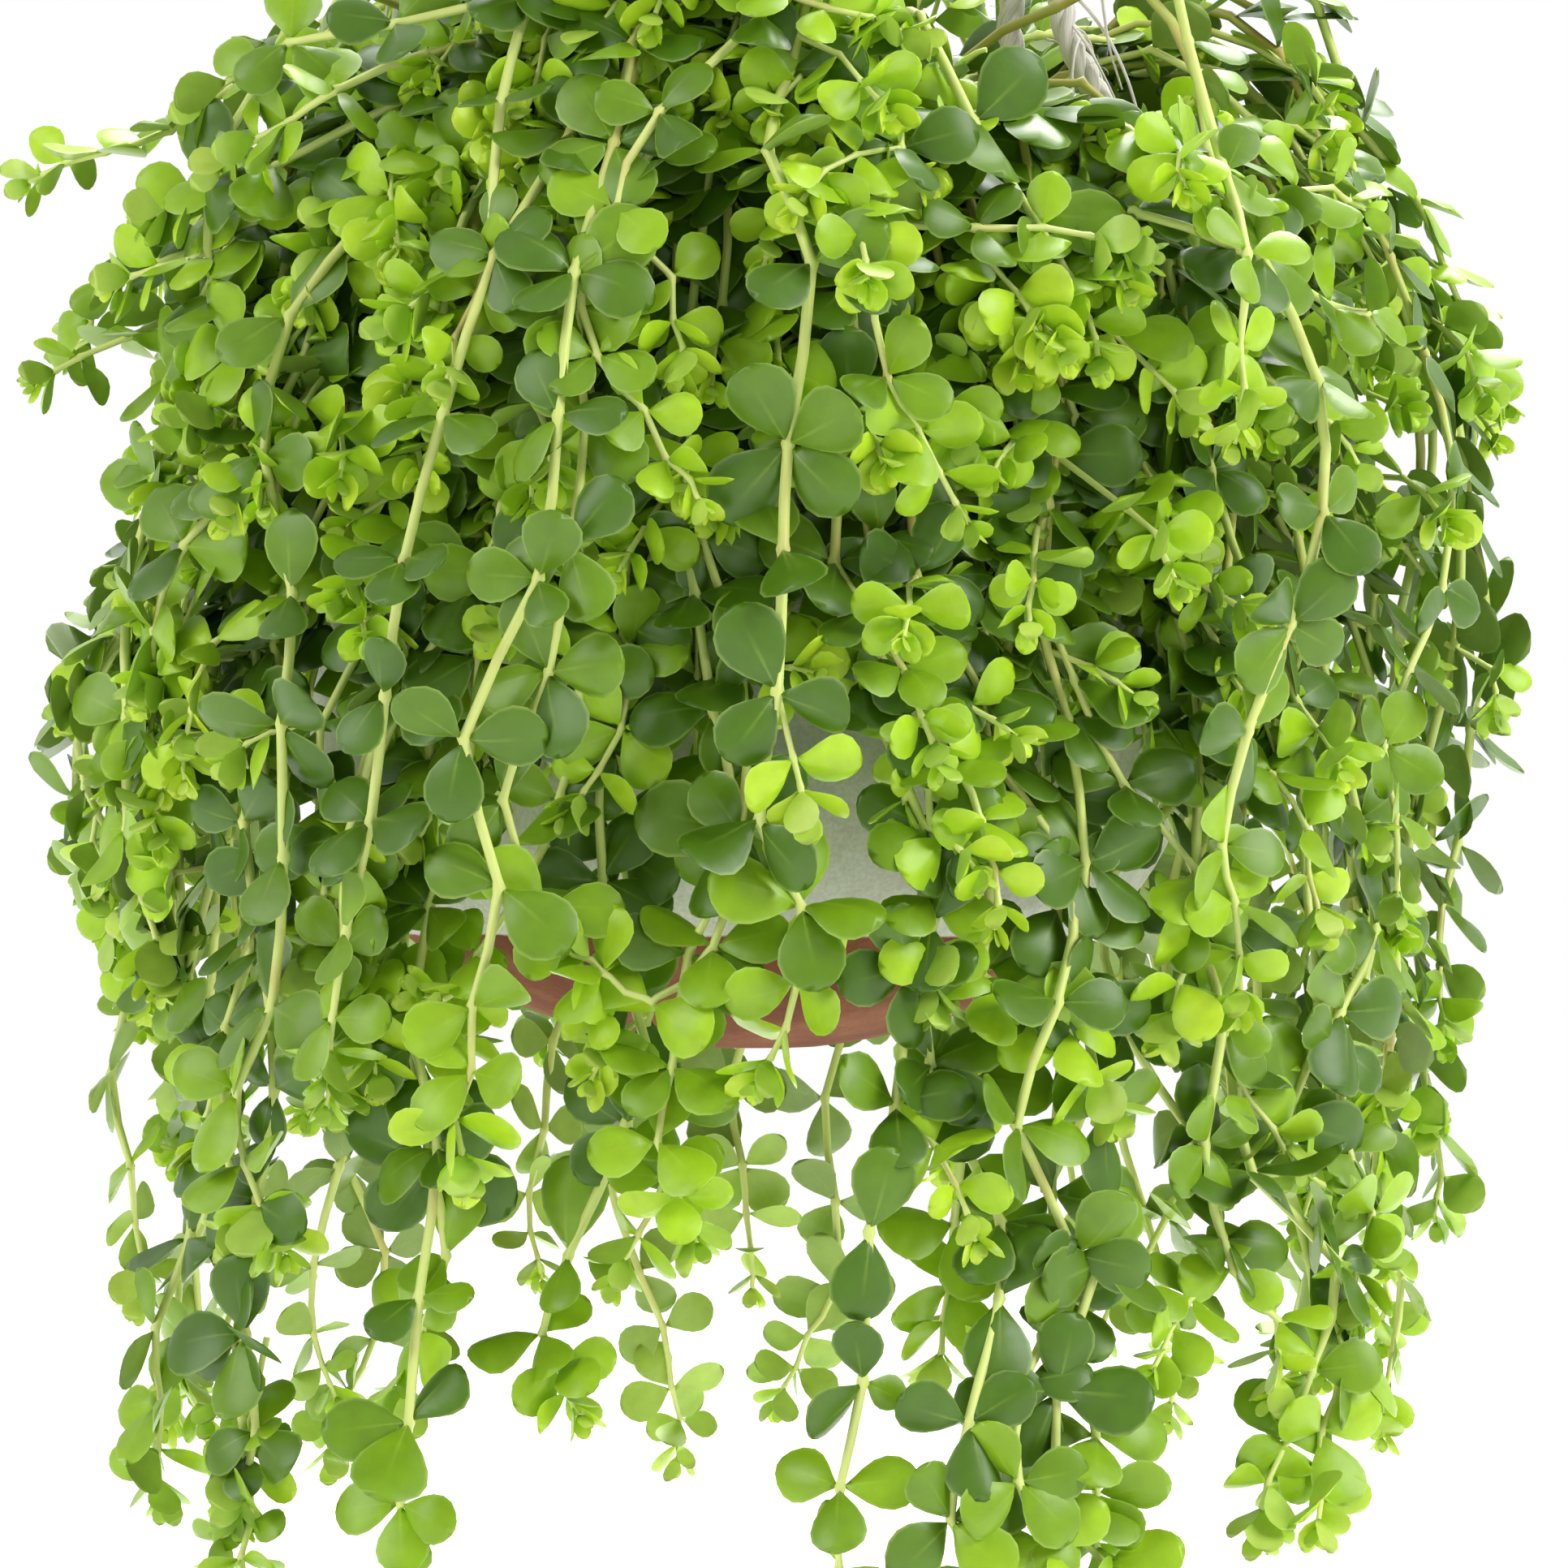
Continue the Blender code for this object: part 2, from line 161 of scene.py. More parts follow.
def growWith(obj, tree, values):
    # runs a node tree on an object; its inputs are set by their sockets' identifiers
    modifier = obj.modifiers.new("Grow", "NODES")
    modifier.node_group = tree
    for item in tree.interface.items_tree:
        if item.item_type == "SOCKET" and item.in_out == "INPUT" and item.name in values:
            modifier[item.identifier] = values[item.name]
    plainMesh(obj)


def newTree(name, sockets):
    tree = bpy.data.node_groups.new(name, "GeometryNodeTree")
    tree.interface.new_socket(name="Geometry", in_out="INPUT", socket_type="NodeSocketGeometry")
    for label, kind, value in sockets:
        socket = tree.interface.new_socket(name=label, in_out="INPUT", socket_type="NodeSocket" + kind)
        if value is not None:
            socket.default_value = value
    tree.interface.new_socket(name="Geometry", in_out="OUTPUT", socket_type="NodeSocketGeometry")
    return tree, tree.nodes.new("NodeGroupInput").outputs, tree.nodes.new("NodeGroupOutput").inputs


# materials

leafLook = {
    "ages": ((0.0, "#ceec3a"), (0.24, "#bae42a"), (0.5, "#a2cd22"), (0.8, "#7fa81a"), (1.0, "#4f7611")),
    # the margin colour is a painted highlight along each leaf's rim
    "underside": "#b6d072", "midrib": "#bedd62", "margin": "#cfe884", "roughness": 0.36, "ior": 1.44,
    "toneShare": 0.22, "ribWidth": 0.11, "ribShare": 0.28, "ribFade": (0.1, 0.75), "rimHighlightFrom": 0.86,
    "rimHighlightShare": 0.28, "belowShare": 0.45, "grainMm": 0.9, "mottleScale": 180.0, "relief": (0.12, 0.0002),
}
stemLook = {
    "ages": ((0.0, "#ecf896"), (0.7, "#dcec82"), (1.0, "#c4c068")), "blush": "#cb9660", "roughness": 0.45,
    "ior": 1.44, "patchScale": 45.0, "blushFrom": (0.58, 0.74), "blushShare": 0.5, "streakScale": 900.0,
    "relief": (0.15, 0.0002),
}
potLook = {
    "clay": ((0.3, "#643822"), (0.5, "#7e4a2f"), (0.72, "#9a6649")),
    "wash": ((0.32, "#cecec7"), (0.5, "#eaeae4"), (0.7, "#ddd6cb")),
    "roughness": 0.85, "specular": 0.2, "dipLineMm": 29, "dipWaveMm": 1.2, "dipEdgeMm": 0.4,
    "waveScale": 38.0, "patchMm": 26, "poreMm": 1.1, "washThickness": 0.8, "relief": (0.35, 0.0005),
}
mixLook = {
    "tones": ((0.35, "#241a12"), (0.52, "#3a2a1c"), (0.7, "#5a4430")), "roughness": 0.95, "crumbMm": 3.0,
    "relief": (0.8, 0.001),
}
ropeLook = {
    "tones": ((0.3, "#cbc4b8"), (0.55, "#ebe8e1")), "stain": "#c9b48f", "roughness": 0.9, "fibreMm": 0.35,
    "fibreScale": 90.0, "patchScale": 28.0, "stainFrom": (0.58, 0.75), "stainShare": 0.35,
    "sheen": (0.3, 0.6), "relief": (0.6, 0.0003),
}


def newMaterial(name, look):
    # a material, its tree, its shader and the place on the object
    material = bpy.data.materials.new(name)
    material.use_nodes = True
    tree = material.node_tree
    shader = tree.nodes["Principled BSDF"]
    shader.inputs["Roughness"].default_value = look["roughness"]
    shader.inputs["IOR"].default_value = look.get("ior", 1.5)
    return material, tree, shader, addNode(tree, "ShaderNodeTexCoord").outputs["Object"]


def finishMaterial(tree, shader, look, colour, height):
    # the shader takes this colour, and a relief of this height
    strength, distance = look["relief"]
    bump = addNode(tree, "ShaderNodeBump", None,
                   {"Height": height, "Strength": strength, "Distance": distance})
    tree.links.new(colour, shader.inputs["Base Color"])
    tree.links.new(bump.outputs[0], shader.inputs["Normal"])


def setStops(node, stops):
    # sets the colours along a ramp and gives its output
    band = node.color_ramp
    while len(band.elements) < len(stops):
        band.elements.new(0.5)
    for element, (place, colour) in zip(band.elements, stops):
        element.position = place
        element.color = hexColour(colour)
    return node.outputs["Color"]


def laidOver(tree, colour, over, value, span, most, ease="LINEAR"):
    # a second colour over the first: none of it below the value's span and the most of it above
    share = addNode(tree, "ShaderNodeMapRange", {"interpolation_type": ease},
                    {"Value": value, "From Min": span[0], "From Max": span[1], "To Min": 0.0, "To Max": most})
    return addNode(tree, "ShaderNodeMix", {"data_type": "RGBA"},
                   {"Factor": share.outputs[0], 6: colour, 7: hexColour(over)}).outputs[2]


def mottled(tree, colour, value, span, shades):
    # a colour made darker and lighter with a value
    shade = addNode(tree, "ShaderNodeMapRange", None,
                    {"Value": value, "From Min": span[0], "From Max": span[1],
                     "To Min": shades[0], "To Max": shades[1]}).outputs[0]
    return addNode(tree, "ShaderNodeVectorMath", {"operation": "SCALE"},
                   {0: colour, "Scale": shade}).outputs[0]


def makeLeafMaterial():
    # fleshy leaf, waxed: a soft pale sheen over green, paler along the midrib and below, with a painted
    # highlight along the rim and painted shade on leaves deep inside the plant
    look = leafLook
    material, tree, shader, place = newMaterial("waxyLeafFlesh", look)
    age, tone, below = (addNode(tree, "ShaderNodeAttribute", {"attribute_name": label}).outputs["Fac"]
                        for label in ("age", "tone", "below"))
    blade = addNode(tree, "ShaderNodeAttribute", {"attribute_name": "blade"}).outputs["Vector"]
    along, side = addNode(tree, "ShaderNodeSeparateXYZ", None, {0: blade}).outputs[:2]
    across = addNode(tree, "ShaderNodeMath", {"operation": "ABSOLUTE"}, {0: side}).outputs[0]
    # the tone attribute holds random tone plus painted shade, so leaves deep inside the plant take the ramp's
    # darker, older colours
    agedAndShaded = addNode(tree, "ShaderNodeMath", {"operation": "MULTIPLY_ADD"},
                   {0: tone, 1: look["toneShare"], 2: age}).outputs[0]
    body = setStops(addNode(tree, "ShaderNodeValToRGB", None, {"Fac": agedAndShaded}), look["ages"])
    rib = addNode(tree, "ShaderNodeMapRange", {"interpolation_type": "SMOOTHSTEP"},
                  {"Value": across, "From Min": 0.0, "From Max": look["ribWidth"],
                   "To Min": look["ribShare"], "To Max": 0.0}).outputs[0]
    fade = addNode(tree, "ShaderNodeMapRange", None,
                   {"Value": along, "From Min": look["ribFade"][0], "From Max": look["ribFade"][1],
                    "To Min": 1.0, "To Max": 0.0}).outputs[0]
    ribShare = addNode(tree, "ShaderNodeMath", {"operation": "MULTIPLY"}, {0: rib, 1: fade}).outputs[0]
    ribbed = addNode(tree, "ShaderNodeMix", {"data_type": "RGBA"},
                     {"Factor": ribShare, 6: body, 7: hexColour(look["midrib"])}).outputs[2]
    # painted highlight: each leaf's rim is paled with the margin colour, as a lit rounded rim would look
    rimHighlighted = laidOver(tree, ribbed, look["margin"], across, (look["rimHighlightFrom"], 1.0), look["rimHighlightShare"],
                     "SMOOTHSTEP")
    colour = laidOver(tree, rimHighlighted, look["underside"], below, (0.0, 1.0), look["belowShare"])
    grain, mottle = (addNode(tree, "ShaderNodeTexNoise", None,
                             {"Vector": place, "Scale": scale, "Detail": detail}).outputs["Fac"]
                     for scale, detail in ((1000 / look["grainMm"], 2.0), (look["mottleScale"], 3.0)))
    finishMaterial(tree, shader, look, mottled(tree, colour, mottle, (0.3, 0.7), (0.9, 1.08)), grain)
    return material


def makeStemMaterial():
    # juicy stem: pale yellow-green, with a brown blush at some nodes and towards its woody foot
    look = stemLook
    material, tree, shader, place = newMaterial("juicyStem", look)
    age = addNode(tree, "ShaderNodeAttribute", {"attribute_name": "age"}).outputs["Fac"]
    body = setStops(addNode(tree, "ShaderNodeValToRGB", None, {"Fac": age}), look["ages"])
    patch, streak = (addNode(tree, "ShaderNodeTexNoise", None,
                             {"Vector": place, "Scale": look[scale], "Detail": 2.0}).outputs["Fac"]
                     for scale in ("patchScale", "streakScale"))
    colour = laidOver(tree, body, look["blush"], patch, look["blushFrom"], look["blushShare"])
    finishMaterial(tree, shader, look, colour, streak)
    return material


def makePotMaterial():
    # low-fired terracotta, unglazed, limewashed above the line it was dipped to
    look = potLook
    material, tree, shader, place = newMaterial("limewashedTerracotta", look)
    height = addNode(tree, "ShaderNodeSeparateXYZ", None, {0: place}).outputs[2]
    wave, patch, pore = (
        addNode(tree, "ShaderNodeTexNoise", None,
                {"Vector": place, "Scale": scale, "Detail": detail, "Roughness": roughness}).outputs["Fac"]
        for scale, detail, roughness in ((look["waveScale"], 4.0, 0.5), (1000 / look["patchMm"], 5.0, 0.6),
                                         (1000 / look["poreMm"], 3.0, 0.5)))
    offset = addNode(tree, "ShaderNodeMath", {"operation": "MULTIPLY_ADD"},
                     {0: wave, 1: look["dipWaveMm"] * 2 / 1000, 2: height}).outputs[0]
    line, edge = footZ + (look["dipLineMm"] + look["dipWaveMm"]) / 1000, look["dipEdgeMm"] / 1000
    washed = addNode(tree, "ShaderNodeMapRange", {"interpolation_type": "SMOOTHSTEP"},
                     {"Value": offset, "From Min": line - edge, "From Max": line + edge}).outputs[0]
    clay, wash = (setStops(addNode(tree, "ShaderNodeValToRGB", None, {"Fac": patch}), look[coat])
                  for coat in ("clay", "wash"))
    colour = addNode(tree, "ShaderNodeMix", {"data_type": "RGBA"},
                     {"Factor": washed, 6: clay, 7: wash}).outputs[2]
    relief = addNode(tree, "ShaderNodeMath", {"operation": "MULTIPLY_ADD"},
                     {0: washed, 1: look["washThickness"], 2: pore}).outputs[0]
    shader.inputs["Specular IOR Level"].default_value = look["specular"]
    finishMaterial(tree, shader, look, mottled(tree, colour, pore, (0.35, 0.65), (0.9, 1.05)), relief)
    return material


def makeSoilMaterial():
    # peat and coir potting mix, damp: dark crumbs with a few paler fibres
    look = mixLook
    material, tree, shader, place = newMaterial("peatPottingMix", look)
    crumb = addNode(tree, "ShaderNodeTexNoise", None,
                    {"Vector": place, "Scale": 1000 / look["crumbMm"], "Detail": 5.0}).outputs["Fac"]
    colour = setStops(addNode(tree, "ShaderNodeValToRGB", None, {"Fac": crumb}), look["tones"])
    finishMaterial(tree, shader, look, colour, crumb)
    return material


def makeRopeMaterial():
    # undyed cotton rope, loosely twisted: off-white fibres that run along each strand, greyer in the grooves
    look = ropeLook
    material, tree, shader, place = newMaterial("twistedCotton", look)
    strand = addNode(tree, "ShaderNodeUVMap", {"uv_map": "strand"}).outputs[0]
    stretch = addNode(tree, "ShaderNodeMapping", None,
                      {"Vector": strand,
                       "Scale": (1000 / look["fibreMm"], look["fibreScale"], 1.0)}).outputs[0]
    fibre, patch = (addNode(tree, "ShaderNodeTexNoise", None,
                            {"Vector": where, "Scale": scale, "Detail": 3.0}).outputs["Fac"]
                    for where, scale in ((stretch, 1.0), (place, look["patchScale"])))
    body = setStops(addNode(tree, "ShaderNodeValToRGB", None, {"Fac": fibre}), look["tones"])
    colour = laidOver(tree, body, look["stain"], patch, look["stainFrom"], look["stainShare"])
    for label, share in zip(("Sheen Weight", "Sheen Roughness"), look["sheen"]):
        shader.inputs[label].default_value = share
    finishMaterial(tree, shader, look, colour, fibre)
    return material


leafMaterial = makeLeafMaterial()
stemMaterial = makeStemMaterial()
potMaterial = makePotMaterial()
soilMaterial = makeSoilMaterial()
ropeMaterial = makeRopeMaterial()
print("materials made")


# camera

cameraSettings = {
    "distance": 1.2, "eyeAboveFoot": 0.045, "aimAboveFoot": 0.067, "aside": 0.0085, "frameWidth": 0.402,
    "sensorMm": 36,
}


def makeCamera():
    c = cameraSettings
    data = bpy.data.cameras.new("camera")
    data.sensor_width = c["sensorMm"]
    data.lens = c["sensorMm"] * c["distance"] / c["frameWidth"]
    camera = pieceFrom("camera", data)
    camera.location = (c["aside"], -c["distance"], footZ + c["eyeAboveFoot"])
    aim = Vector((c["aside"], 0, footZ + c["aimAboveFoot"])) - camera.location
    camera.rotation_euler = aim.to_track_quat("-Z", "Y").to_euler()
    bpy.context.scene.camera = camera


makeCamera()


# ropes

ropePlan = {
    "diameter": 0.007, "strands": 3, "strandSides": 8, "twist": 0.024,
    "azimuths": {"right": -33.0, "back": 70.0, "left": 199.0},
    "wall": 0.007, "rimRadius": 0.109, "holeDrop": 0.018, "seat": 0.0012, "bend": 0.014, "knotRadius": 0.009,
    "slingEnds": ((1.3, 0.0), (1.6, 0.012), (2.4, 0.032)), "neck": ((1.9, 0.030), (1.25, 0.018)),
    "neckTop": 0.010,
    "gatherRadius": 0.0047, "gap": 0.0003, "loopHeight": 0.052, "loopWidth": 0.036,
    "loopFoot": ((0.0, 0.0), (0.0, 0.008), (0.003, 0.017)), "uvStep": 0.01,
    "hairsPerMetre": 420, "hairLength": 0.006, "hairCurl": 0.0026,
    "hairRadii": (0.00009, 0.00009, 0.000072, 0.000036),
}
knotPlan = {"points": 64, "turns": 2.3, "inset": 0.42, "waist": 0.0012, "coil": 0.62, "height": 1.15,
            "tilt": 0.12, "strand": 0.26, "spread": 0.9, "lay": 0.05, "core": 0.62, "uvStep": 0.02}
frayPlan = {"yarns": 9, "above": 0.06, "spread": (-0.003, 0.007), "from": (0.035, 0.062), "aside": (-70, 110),
            "length": (0.025, 0.06), "reach": 0.45, "curl": 0.003, "bends": 6, "points": 26,
            "radius": (0.0003, 0.00055)}
wrapPlan = {"cord": 0.0011, "pitch": 1.9, "pointsPerTurn": 20, "sides": 6, "coreInset": 0.001}
wrapLow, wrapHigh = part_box("gathering_wrap")
gatherZ, loopFootZ = wrapLow[2], wrapHigh[2] + ropePlan["gap"]
knotZ = (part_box("rope_right_knot")[0][2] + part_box("rope_right_knot")[1][2]) / 2


def ropeAxis(z):
    # how far from the pot's axis a rope is at this height
    middle = ropePlan["rimRadius"] - ropePlan["wall"] / 2
    return middle + (ropePlan["gatherRadius"] - middle) * (z - rimZ) / (gatherZ - rimZ)


def slingRoute(azimuth):
    # down inside the wall, out through the hole and up outside the rim
    p = ropePlan
    radius = p["diameter"] / 2
    middle, centreZ = p["rimRadius"] - p["wall"] / 2, rimZ - p["holeDrop"] + p["seat"] + p["bend"]
    turn = [math.radians(190 + 20 * k) for k in range(9)]
    arch = [(middle + p["bend"] * math.cos(a), centreZ + p["bend"] * math.sin(a)) for a in turn]
    knot, under = ropeAxis(knotZ), knotZ - p["knotRadius"] - p["gap"]
    strand = [(radius * apart, under - drop) for apart, drop in p["slingEnds"]]
    points = [(knot - apart, z) for apart, z in strand] + arch
    points += [(knot + apart, z) for apart, z in strand[::-1]]
    return smoothRoute([polar(r, azimuth, z) for r, z in points], 90)


def riserRoute(azimuth):
    # from its knot up to the wrap
    p = ropePlan
    knot = polar(ropeAxis(knotZ), azimuth, knotZ)
    top = polar(p["gatherRadius"], azimuth, gatherZ - p["gap"])
    bend, turn = (polar(p["gatherRadius"] * wide, azimuth, gatherZ - drop) for wide, drop in p["neck"])
    start = knot + (bend - knot).normalized() * (p["knotRadius"] + p["gap"])
    straight = [start.lerp(bend, t) for t in (0, 0.25, 0.5, 0.75, 1)]
    return smoothRoute(straight + [turn, top - Vector((0, 0, p["neckTop"])), top], 120)


def loopRoute():
    p = ropePlan
    wide, foot = p["loopWidth"] / 2, p["diameter"] / 2 * 1.2
    crownZ = loopFootZ + p["loopHeight"] - wide
    side = [(foot + aside, loopFootZ + up) for aside, up in p["loopFoot"]]
    angles = [math.radians(-12 + 25.5 * k) for k in range(9)]
    over = [(wide * math.cos(a), crownZ + wide * math.sin(a)) for a in angles]
    return smoothRoute([Vector((x, 0, z)) for x, z in side + over + [(-x, z) for x, z in side[::-1]]], 80)


def framesAlong(points):
    # a tangent and two directions across it at each point, carried along without twisting
    tangents = [(b - a).normalized() for a, b in zip(points, points[1:])]
    tangents.append(tangents[-1])
    across = tangents[0].orthogonal().normalized()
    frames = []
    for tangent in tangents:
        across = (across - tangent * across.dot(tangent)).normalized()
        frames.append((tangent, across, tangent.cross(across)))
    return frames


def tubeInto(shape, points, radii, sides, uvLayer=None, turn=0.0):
    # a closed tube, its ends capped with a point
    rings = []
    for point, radius, (_, a, b) in zip(points, radii, framesAlong(points)):
        angles = [math.tau * k / sides for k in range(sides)]
        rings.append([shape.verts.new(point + (a * math.cos(t) + b * math.sin(t)) * radius) for t in angles])
    along = 0.0
    for i in range(len(rings) - 1):
        step = (points[i + 1] - points[i]).length
        for k in range(sides):
            n = (k + 1) % sides
            face = shape.faces.new((rings[i][k], rings[i][n], rings[i + 1][n], rings[i + 1][k]))
            face.smooth = True
            if uvLayer:
                width = math.tau * radii[i] / sides
                corners = ((k, along), (k + 1, along), (k + 1, along + step), (k, along + step))
                for loop, (u, v) in zip(face.loops, corners):
                    loop[uvLayer].uv = (u * width + turn, v)
        along += step
    for ring, point, flip in ((rings[0], points[0], True), (rings[-1], points[-1], False)):
        tip = shape.verts.new(point)
        for k in range(sides):
            n = (k + 1) % sides
            face = shape.faces.new((ring[n], ring[k], tip) if flip else (ring[k], ring[n], tip))
            face.smooth = True


def newRopeShape():
    shape = bmesh.new()
    return shape, shape.loops.layers.uv.new("strand")


def layStrands(shape, uvLayer, route, turns, spread, radius, uvStep):
    # the strands of a rope laid round its route, and the route's frames
    count, frames = ropePlan["strands"], framesAlong(route)
    for k in range(count):
        angles = [math.tau * (turn + k / count) for turn in turns]
        centre = [point + (a * math.cos(t) + b * math.sin(t)) * spread
                  for point, (_, a, b), t in zip(route, frames, angles)]
        tubeInto(shape, centre, [radius] * len(centre), ropePlan["strandSides"], uvLayer, k * uvStep)
    return frames


def ropePiece(name, shape, standsFor=None):
    piece = pieceFrom(name, meshFrom(name, shape))
    piece.data.materials.append(ropeMaterial)
    return intoFrame(piece, standsFor)


def makeRope(name, route, seed):
    # strands laid round each other, and the hairs that stand off them
    p = ropePlan
    shape, strandUv = newRopeShape()
    outer, marks = p["diameter"] / 2, marksAlong(route)
    turns = [mark / p["twist"] for mark in marks]
    frames = layStrands(shape, strandUv, route, turns, outer / 2, outer / 2, p["uvStep"])
    random.seed(seed)
    for _ in range(round(marks[-1] * p["hairsPerMetre"])):
        k = random.randrange(2, len(route) - 3)
        tangent, a, b = frames[k]
        angle = random.uniform(0, math.tau)
        out = a * math.cos(angle) + b * math.sin(angle)
        lean = tangent * random.uniform(-1.6, 1.6) + out.cross(tangent) * random.uniform(-0.8, 0.8)
        start = route[k] + out * outer * 0.8
        reach = p["hairLength"] * random.uniform(0.4, 1.0)
        hair = [start + lean * reach * t * 0.6
                + out * (p["hairCurl"] * math.sin(t * 2.2) * random.uniform(0.6, 1))
                for t in (0, 0.35, 0.7, 1.0)]
        tubeInto(shape, hair, p["hairRadii"], 3)
    return ropePiece(name, shape)


def makeKnot(name, side, azimuth):
    # an overhand knot drawn tight: the rope's own strands wound twice round the pair below it
    p, diameter = knotPlan, ropePlan["diameter"]
    low, high = boxOf(f"rope_{side}_knot")
    centre, size = (low + high) / 2, (high.x - low.x) / 2
    winding = []
    for k in range(p["points"]):
        t = k / (p["points"] - 1)
        angle = math.tau * p["turns"] * t
        bulge = size - diameter * p["inset"] - p["waist"] * abs(2 * t - 1)
        height = (t - 0.5) * size * p["height"] + math.sin(angle * 0.5) * size * p["tilt"]
        winding.append(centre + polar(bulge * p["coil"], math.degrees(angle) + azimuth, height))
    shape, strandUv = newRopeShape()
    radius = diameter * p["strand"]
    turns = [i * p["lay"] for i in range(len(winding))]
    layStrands(shape, strandUv, winding, turns, radius * p["spread"], radius, p["uvStep"])
    bmesh.ops.create_uvsphere(shape, u_segments=16, v_segments=10, radius=size * p["core"],
                              matrix=Matrix.Translation(centre))
    for face in shape.faces:
        face.smooth = True
    return ropePiece(name, shape, f"rope_{side}_knot")


def makeFray(name, azimuth, seed):
    # yarns that have worked loose from the sling and hang beside it in long curls
    p = frayPlan
    random.seed(seed)
    shape, strandUv = newRopeShape()
    for k in range(p["yarns"]):
        start = polar(ropeAxis(rimZ + p["above"]) + random.uniform(*p["spread"]), azimuth,
                      rimZ + random.uniform(*p["from"]))
        side = polar(1, azimuth + random.uniform(*p["aside"]), 0)
        length = random.uniform(*p["length"])
        points = [start]
        for step in range(p["bends"]):
            t = (step + 1) / p["bends"]
            curl = Vector((math.sin(5 * t + k), math.cos(4 * t + 2 * k), 0)) * p["curl"] * t
            points.append(start + side * length * p["reach"] * t + curl - Vector((0, 0, length * t * t)))
        radius = random.uniform(*p["radius"])
        thinning = [radius * (1 - 0.5 * i / (p["points"] - 1)) for i in range(p["points"])]
        tubeInto(shape, smoothRoute(points, p["points"]), thinning, 6, strandUv)
    return ropePiece(name, shape)


def makeWrap():
    # whipping cord wound tightly round the three ropes, over a solid core
    p = wrapPlan
    low, high = boxOf("gathering_wrap")
    tall, outer, cord = high.z - low.z, (high.x - low.x) / 2, p["cord"]
    turns = int(tall / (cord * p["pitch"]))
    count = turns * p["pointsPerTurn"]
    route = [polar(outer - cord, 360 * turns * k / count, low.z + cord + (tall - 2 * cord) * k / count)
             for k in range(count + 1)]
    shape, strandUv = newRopeShape()
    tubeInto(shape, route, [cord] * len(route), p["sides"], strandUv)
    bmesh.ops.create_cone(shape, cap_ends=True, segments=32, radius1=outer - cord, radius2=outer - cord,
                          depth=tall - p["coreInset"],
                          matrix=Matrix.Translation((0, 0, (low.z + high.z) / 2)))
    return ropePiece("whipping_cord", shape, "gathering_wrap")


def makeRopes():
    wrap = makeWrap()
    for number, (side, azimuth) in enumerate(ropePlan["azimuths"].items()):
        knot = makeKnot(f"rope_{side}_drawn_knot", side, azimuth)
        sling = slingRoute(azimuth)
        slingRope = makeRope(f"rope_{side}_lower", sling, 11 + number)
        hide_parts(f"rope_{side}_sling")
        fray = makeFray(f"rope_{side}_fray", azimuth, 31 + number)
        riser = riserRoute(azimuth)
        riserRope = makeRope(f"rope_{side}_upper", riser, 21 + number)
        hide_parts(f"rope_{side}_riser")
    loop = loopRoute()
    loopRope = makeRope("hanging_eye", loop, 41)
    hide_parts("hanging_loop")


makeRopes()
print("ropes made")


# pot

potPlan = {"wall": 0.007, "footRadius": 0.018, "bowlHeight": 0.076, "rimRadius": 0.109, "segments": 120,
           "holeRadius": 0.006, "wobble": 0.0006}


def ellipseArc(centreZ, radii, start, end, count):
    angles = [math.radians(start + (end - start) * k / (count - 1)) for k in range(count)]
    return [(radii[0] * math.cos(a), centreZ + radii[1] * math.sin(a)) for a in angles]


